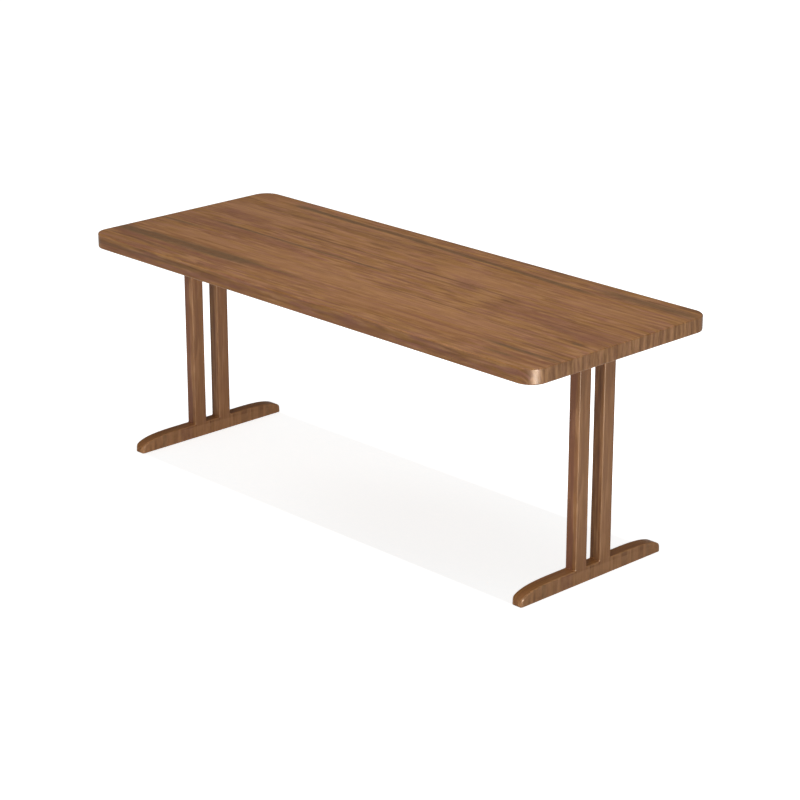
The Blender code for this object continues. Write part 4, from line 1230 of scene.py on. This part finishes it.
def make_hardware():
    """Every bolt, washer, cross nut, insert, dowel and glide, each in its node's place."""
    steel = metal("zinc plate", srgb(200, 202, 206))
    kinds = {
        "bolt": ("screw", bolt_shape, steel, "zinc_steel"),
        "washer": ("ring", washer_shape, steel, "zinc_steel"),
        "nut": ("cross", nut_shape, steel, "zinc_steel"),
        "insert": ("sleeve", insert_shape, metal("brass", srgb(214, 178, 106)), "brass"),
        "dowel": ("pin", dowel_shape, beech(), "beech"),
        "glide": ("pad", glide_shape, nylon(), "glide_nylon"),
    }
    for node in sorted(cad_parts):
        for word in kinds.keys() & node.split("_"):
            part, shape, finish, slot = kinds[word]
            box = box_of(node)
            piece = solid(f"{node}_{part}", shape(box), finish, slot, [node])
            smoothed(drilled(piece, nut_cutters(box)) if word == "nut" else piece)


def make_desk():
    """All the pieces of the desk."""
    make_walnut_effect()
    make_streak_effect()
    make_polish_effect()
    trestle = trestle_walnut()
    plain = plain_walnut()
    make_tabletop(top_walnut())
    for end in ENDS:
        foot_top = box_of(f"{end}_foot").high[2]
        bearer_underside = box_of(f"{end}_bearer").low[2]
        make_foot(end, trestle)
        make_bearer(end, plain)
        for depth in DEPTHS:
            make_upright(f"{end}_{depth}_post", f"{end}_{depth}_upright", foot_top, bearer_underside, trestle)
    make_rail(plain)
    make_hardware()


# Floor: the glow that the camera sees, and how the painted shadow between the feet spreads in it
FLOOR_HALF_SIZE = 30.0
FLOOR_PAINT = (0.588, 0.62, 0.645, 1.0)
FLOOR_GLOW_TINT = (0.992, 1.0, 1.0, 1.0)
FLOOR_GLOW = 0.36
FLOOR_FAR_GLOW = 0.93
PAINTED_SHADOW_DEEPEST = (0.35, -0.08, 0.0)
PAINTED_SHADOW_REACH = (0.9, 0.5, 1.0)
PAINTED_SHADOW_SPREAD = (0.2, 1.0)
PAINTED_SHADOW_GLOW = (0.782, 0.832)
PAINTED_SHADOW_EDGE = 0.008

# Sky and lights
SKY_LIGHT = 0.27
SKY_SEEN = 1.02
SKY_IN_SHINE = 0.12
LIGHT_DISTANCE = 9.0
LIGHT_AIM = Vector((0, 0, 0.5))
OVERHEAD = ((0.2, 0.0, 3.4), LIGHT_AIM, 2.64, 1.3, 36.0)
FLOOR_LIGHT = ((0.0, 0.0, 3.4), LIGHT_AIM, 2.2, 0.8, 146.0)
STRIP = ((3.65, -1.25, 0.42), (0.9, -0.2, 0.5), 0.95, 0.8, 960.0)
STRIP_TINT = (1.0, 0.80, 0.63)

# Soft lights that leave the floor alone: name, azimuth, elevation, width, height, power
SOFT_LIGHTS = [
    ("key", 64, 49, 6.4, 5.1, 168.0),
    ("front key", 16, 38, 5.1, 3.9, 200.0),
    ("low front fill", 10, 7, 5.1, 2.0, 84.0),
]


def make_floor():
    """A wide pale floor, white all round, keeping a faint shadow between the feet that is partly painted into
    its seen glow.
    """
    mesh = bpy.data.meshes.new("floor")
    size = FLOOR_HALF_SIZE
    corners = [(-size, -size, 0), (size, -size, 0), (size, size, 0), (-size, size, 0)]
    mesh.from_pydata(corners, [], [(0, 1, 2, 3)])
    floor = new_object("floor", mesh)
    material, nodes, shader = new_material("pale floor")
    shader["Base Color"].default_value = FLOOR_PAINT
    shader["Roughness"].default_value = 1.0
    shader["Specular IOR Level"].default_value = 0.0
    shader["Emission Color"].default_value = FLOOR_GLOW_TINT
    seen = nodes.add("LightPath").outputs["Is Camera Ray"]
    place = nodes.add("TexCoord").outputs["Object"]
    parts = nodes.parts(place)
    foot = box_of("right_foot")
    past_x, past_y = (
        nodes.ease(nodes.math("ABSOLUTE", parts[side]), reach - PAINTED_SHADOW_EDGE, reach)
        for side, reach in (("X", foot.middle[0]), ("Y", foot.size[1] / 2))
    )
    # Painted shadow: the glow the camera sees is lowered between the feet, most near the deepest place
    from_deepest = nodes.vector("DIVIDE", nodes.vector("SUBTRACT", place, PAINTED_SHADOW_DEEPEST), PAINTED_SHADOW_REACH)
    away = nodes.add("VectorMath", {0: from_deepest}, operation="LENGTH").outputs["Value"]
    shade = nodes.ease(away, *PAINTED_SHADOW_SPREAD, *PAINTED_SHADOW_GLOW)
    past = nodes.math("MAXIMUM", past_x, past_y)
    seen_glow_with_painted_shadow = nodes.math("MULTIPLY_ADD", past, nodes.math("SUBTRACT", FLOOR_FAR_GLOW, shade), shade)
    glow = nodes.math("MULTIPLY_ADD", seen, nodes.math("SUBTRACT", seen_glow_with_painted_shadow, FLOOR_GLOW), FLOOR_GLOW)
    nodes.put(shader["Emission Strength"], glow)
    mesh.materials.append(material)
    floor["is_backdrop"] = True
    return floor


def make_sky():
    """Even white light from all round, seen by the camera as plain white."""
    world = bpy.data.worlds.new("studio")
    world.use_nodes = True
    nodes = Nodes(world.node_tree)
    background = world.node_tree.nodes["Background"].inputs
    background["Color"].default_value = (1, 1, 1, 1)
    path = nodes.add("LightPath").outputs
    strength = nodes.math("MULTIPLY_ADD", path["Is Camera Ray"], SKY_SEEN - SKY_LIGHT, SKY_LIGHT)
    strength = nodes.math("MULTIPLY_ADD", path["Is Glossy Ray"], SKY_IN_SHINE - SKY_LIGHT, strength)
    nodes.put(background["Strength"], strength)
    bpy.context.scene.world = world


def direction(azimuth, elevation):
    """The way towards a place seen at an azimuth, from the front round to the right, and an elevation."""
    turn, rise = math.radians(azimuth), math.radians(elevation)
    return Vector((math.sin(turn) * math.cos(rise), -math.cos(turn) * math.cos(rise), math.sin(rise)))


def softbox(name, receivers, place, aim, width, height, power, diffuse=True, glossy=True):
    """A rectangular soft light, not seen by the camera, for the things of one collection."""
    lamp = bpy.data.lights.new(name, "AREA")
    lamp.shape = "RECTANGLE"
    lamp.size = width
    lamp.size_y = height
    lamp.energy = power
    light = new_object(name, lamp)
    light.location = place
    light.rotation_euler = (Vector(aim) - Vector(place)).to_track_quat("-Z", "Y").to_euler()
    light.visible_camera = False
    light.visible_diffuse = diffuse
    light.visible_glossy = glossy
    light.light_linking.receiver_collection = receivers
    return lamp


def make_lights(floor):
    """Soft lights, a strip and one from above for the desk alone, and one from above for the floor alone.

    The strip draws the bright lines on round edges. The floor's own light makes its shadow crisp.
    """
    desk_only = bpy.data.collections.new("lit without the floor")
    desk_only.objects.link(floor)
    desk_only.collection_objects[0].light_linking.link_state = "EXCLUDE"
    floor_only = bpy.data.collections.new("lit floor")
    floor_only.objects.link(floor)
    softbox("overhead for the floor", floor_only, *FLOOR_LIGHT)
    for name, azimuth, elevation, *rest in SOFT_LIGHTS:
        place = LIGHT_AIM + direction(azimuth, elevation) * LIGHT_DISTANCE
        softbox(name, desk_only, place, LIGHT_AIM, *rest, glossy=False)
    strip = softbox("strip", desk_only, *STRIP, diffuse=False)
    strip.color = STRIP_TINT
    softbox("overhead", desk_only, *OVERHEAD)


def make_camera():
    """The camera at the photograph's angle."""
    data = bpy.data.cameras.new("camera")
    data.sensor_width = CAMERA_SENSOR
    data.lens = CAMERA_LENS
    camera = new_object("camera", data)
    camera.location = CAMERA_TARGET + direction(CAMERA_AZIMUTH, CAMERA_ELEVATION) * CAMERA_DISTANCE
    camera.rotation_euler = (math.radians(90 - CAMERA_ELEVATION), 0, math.radians(CAMERA_AZIMUTH))
    bpy.context.scene.camera = camera


make_desk()
lit_floor = make_floor()
make_sky()
make_lights(lit_floor)
make_camera()
bpy.context.scene.view_settings.view_transform = "Standard"

both = {"cad": cad_bounds, "visual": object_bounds()}
{name: [[float(x) for x in corner] for corner in box] for name, box in both.items()}
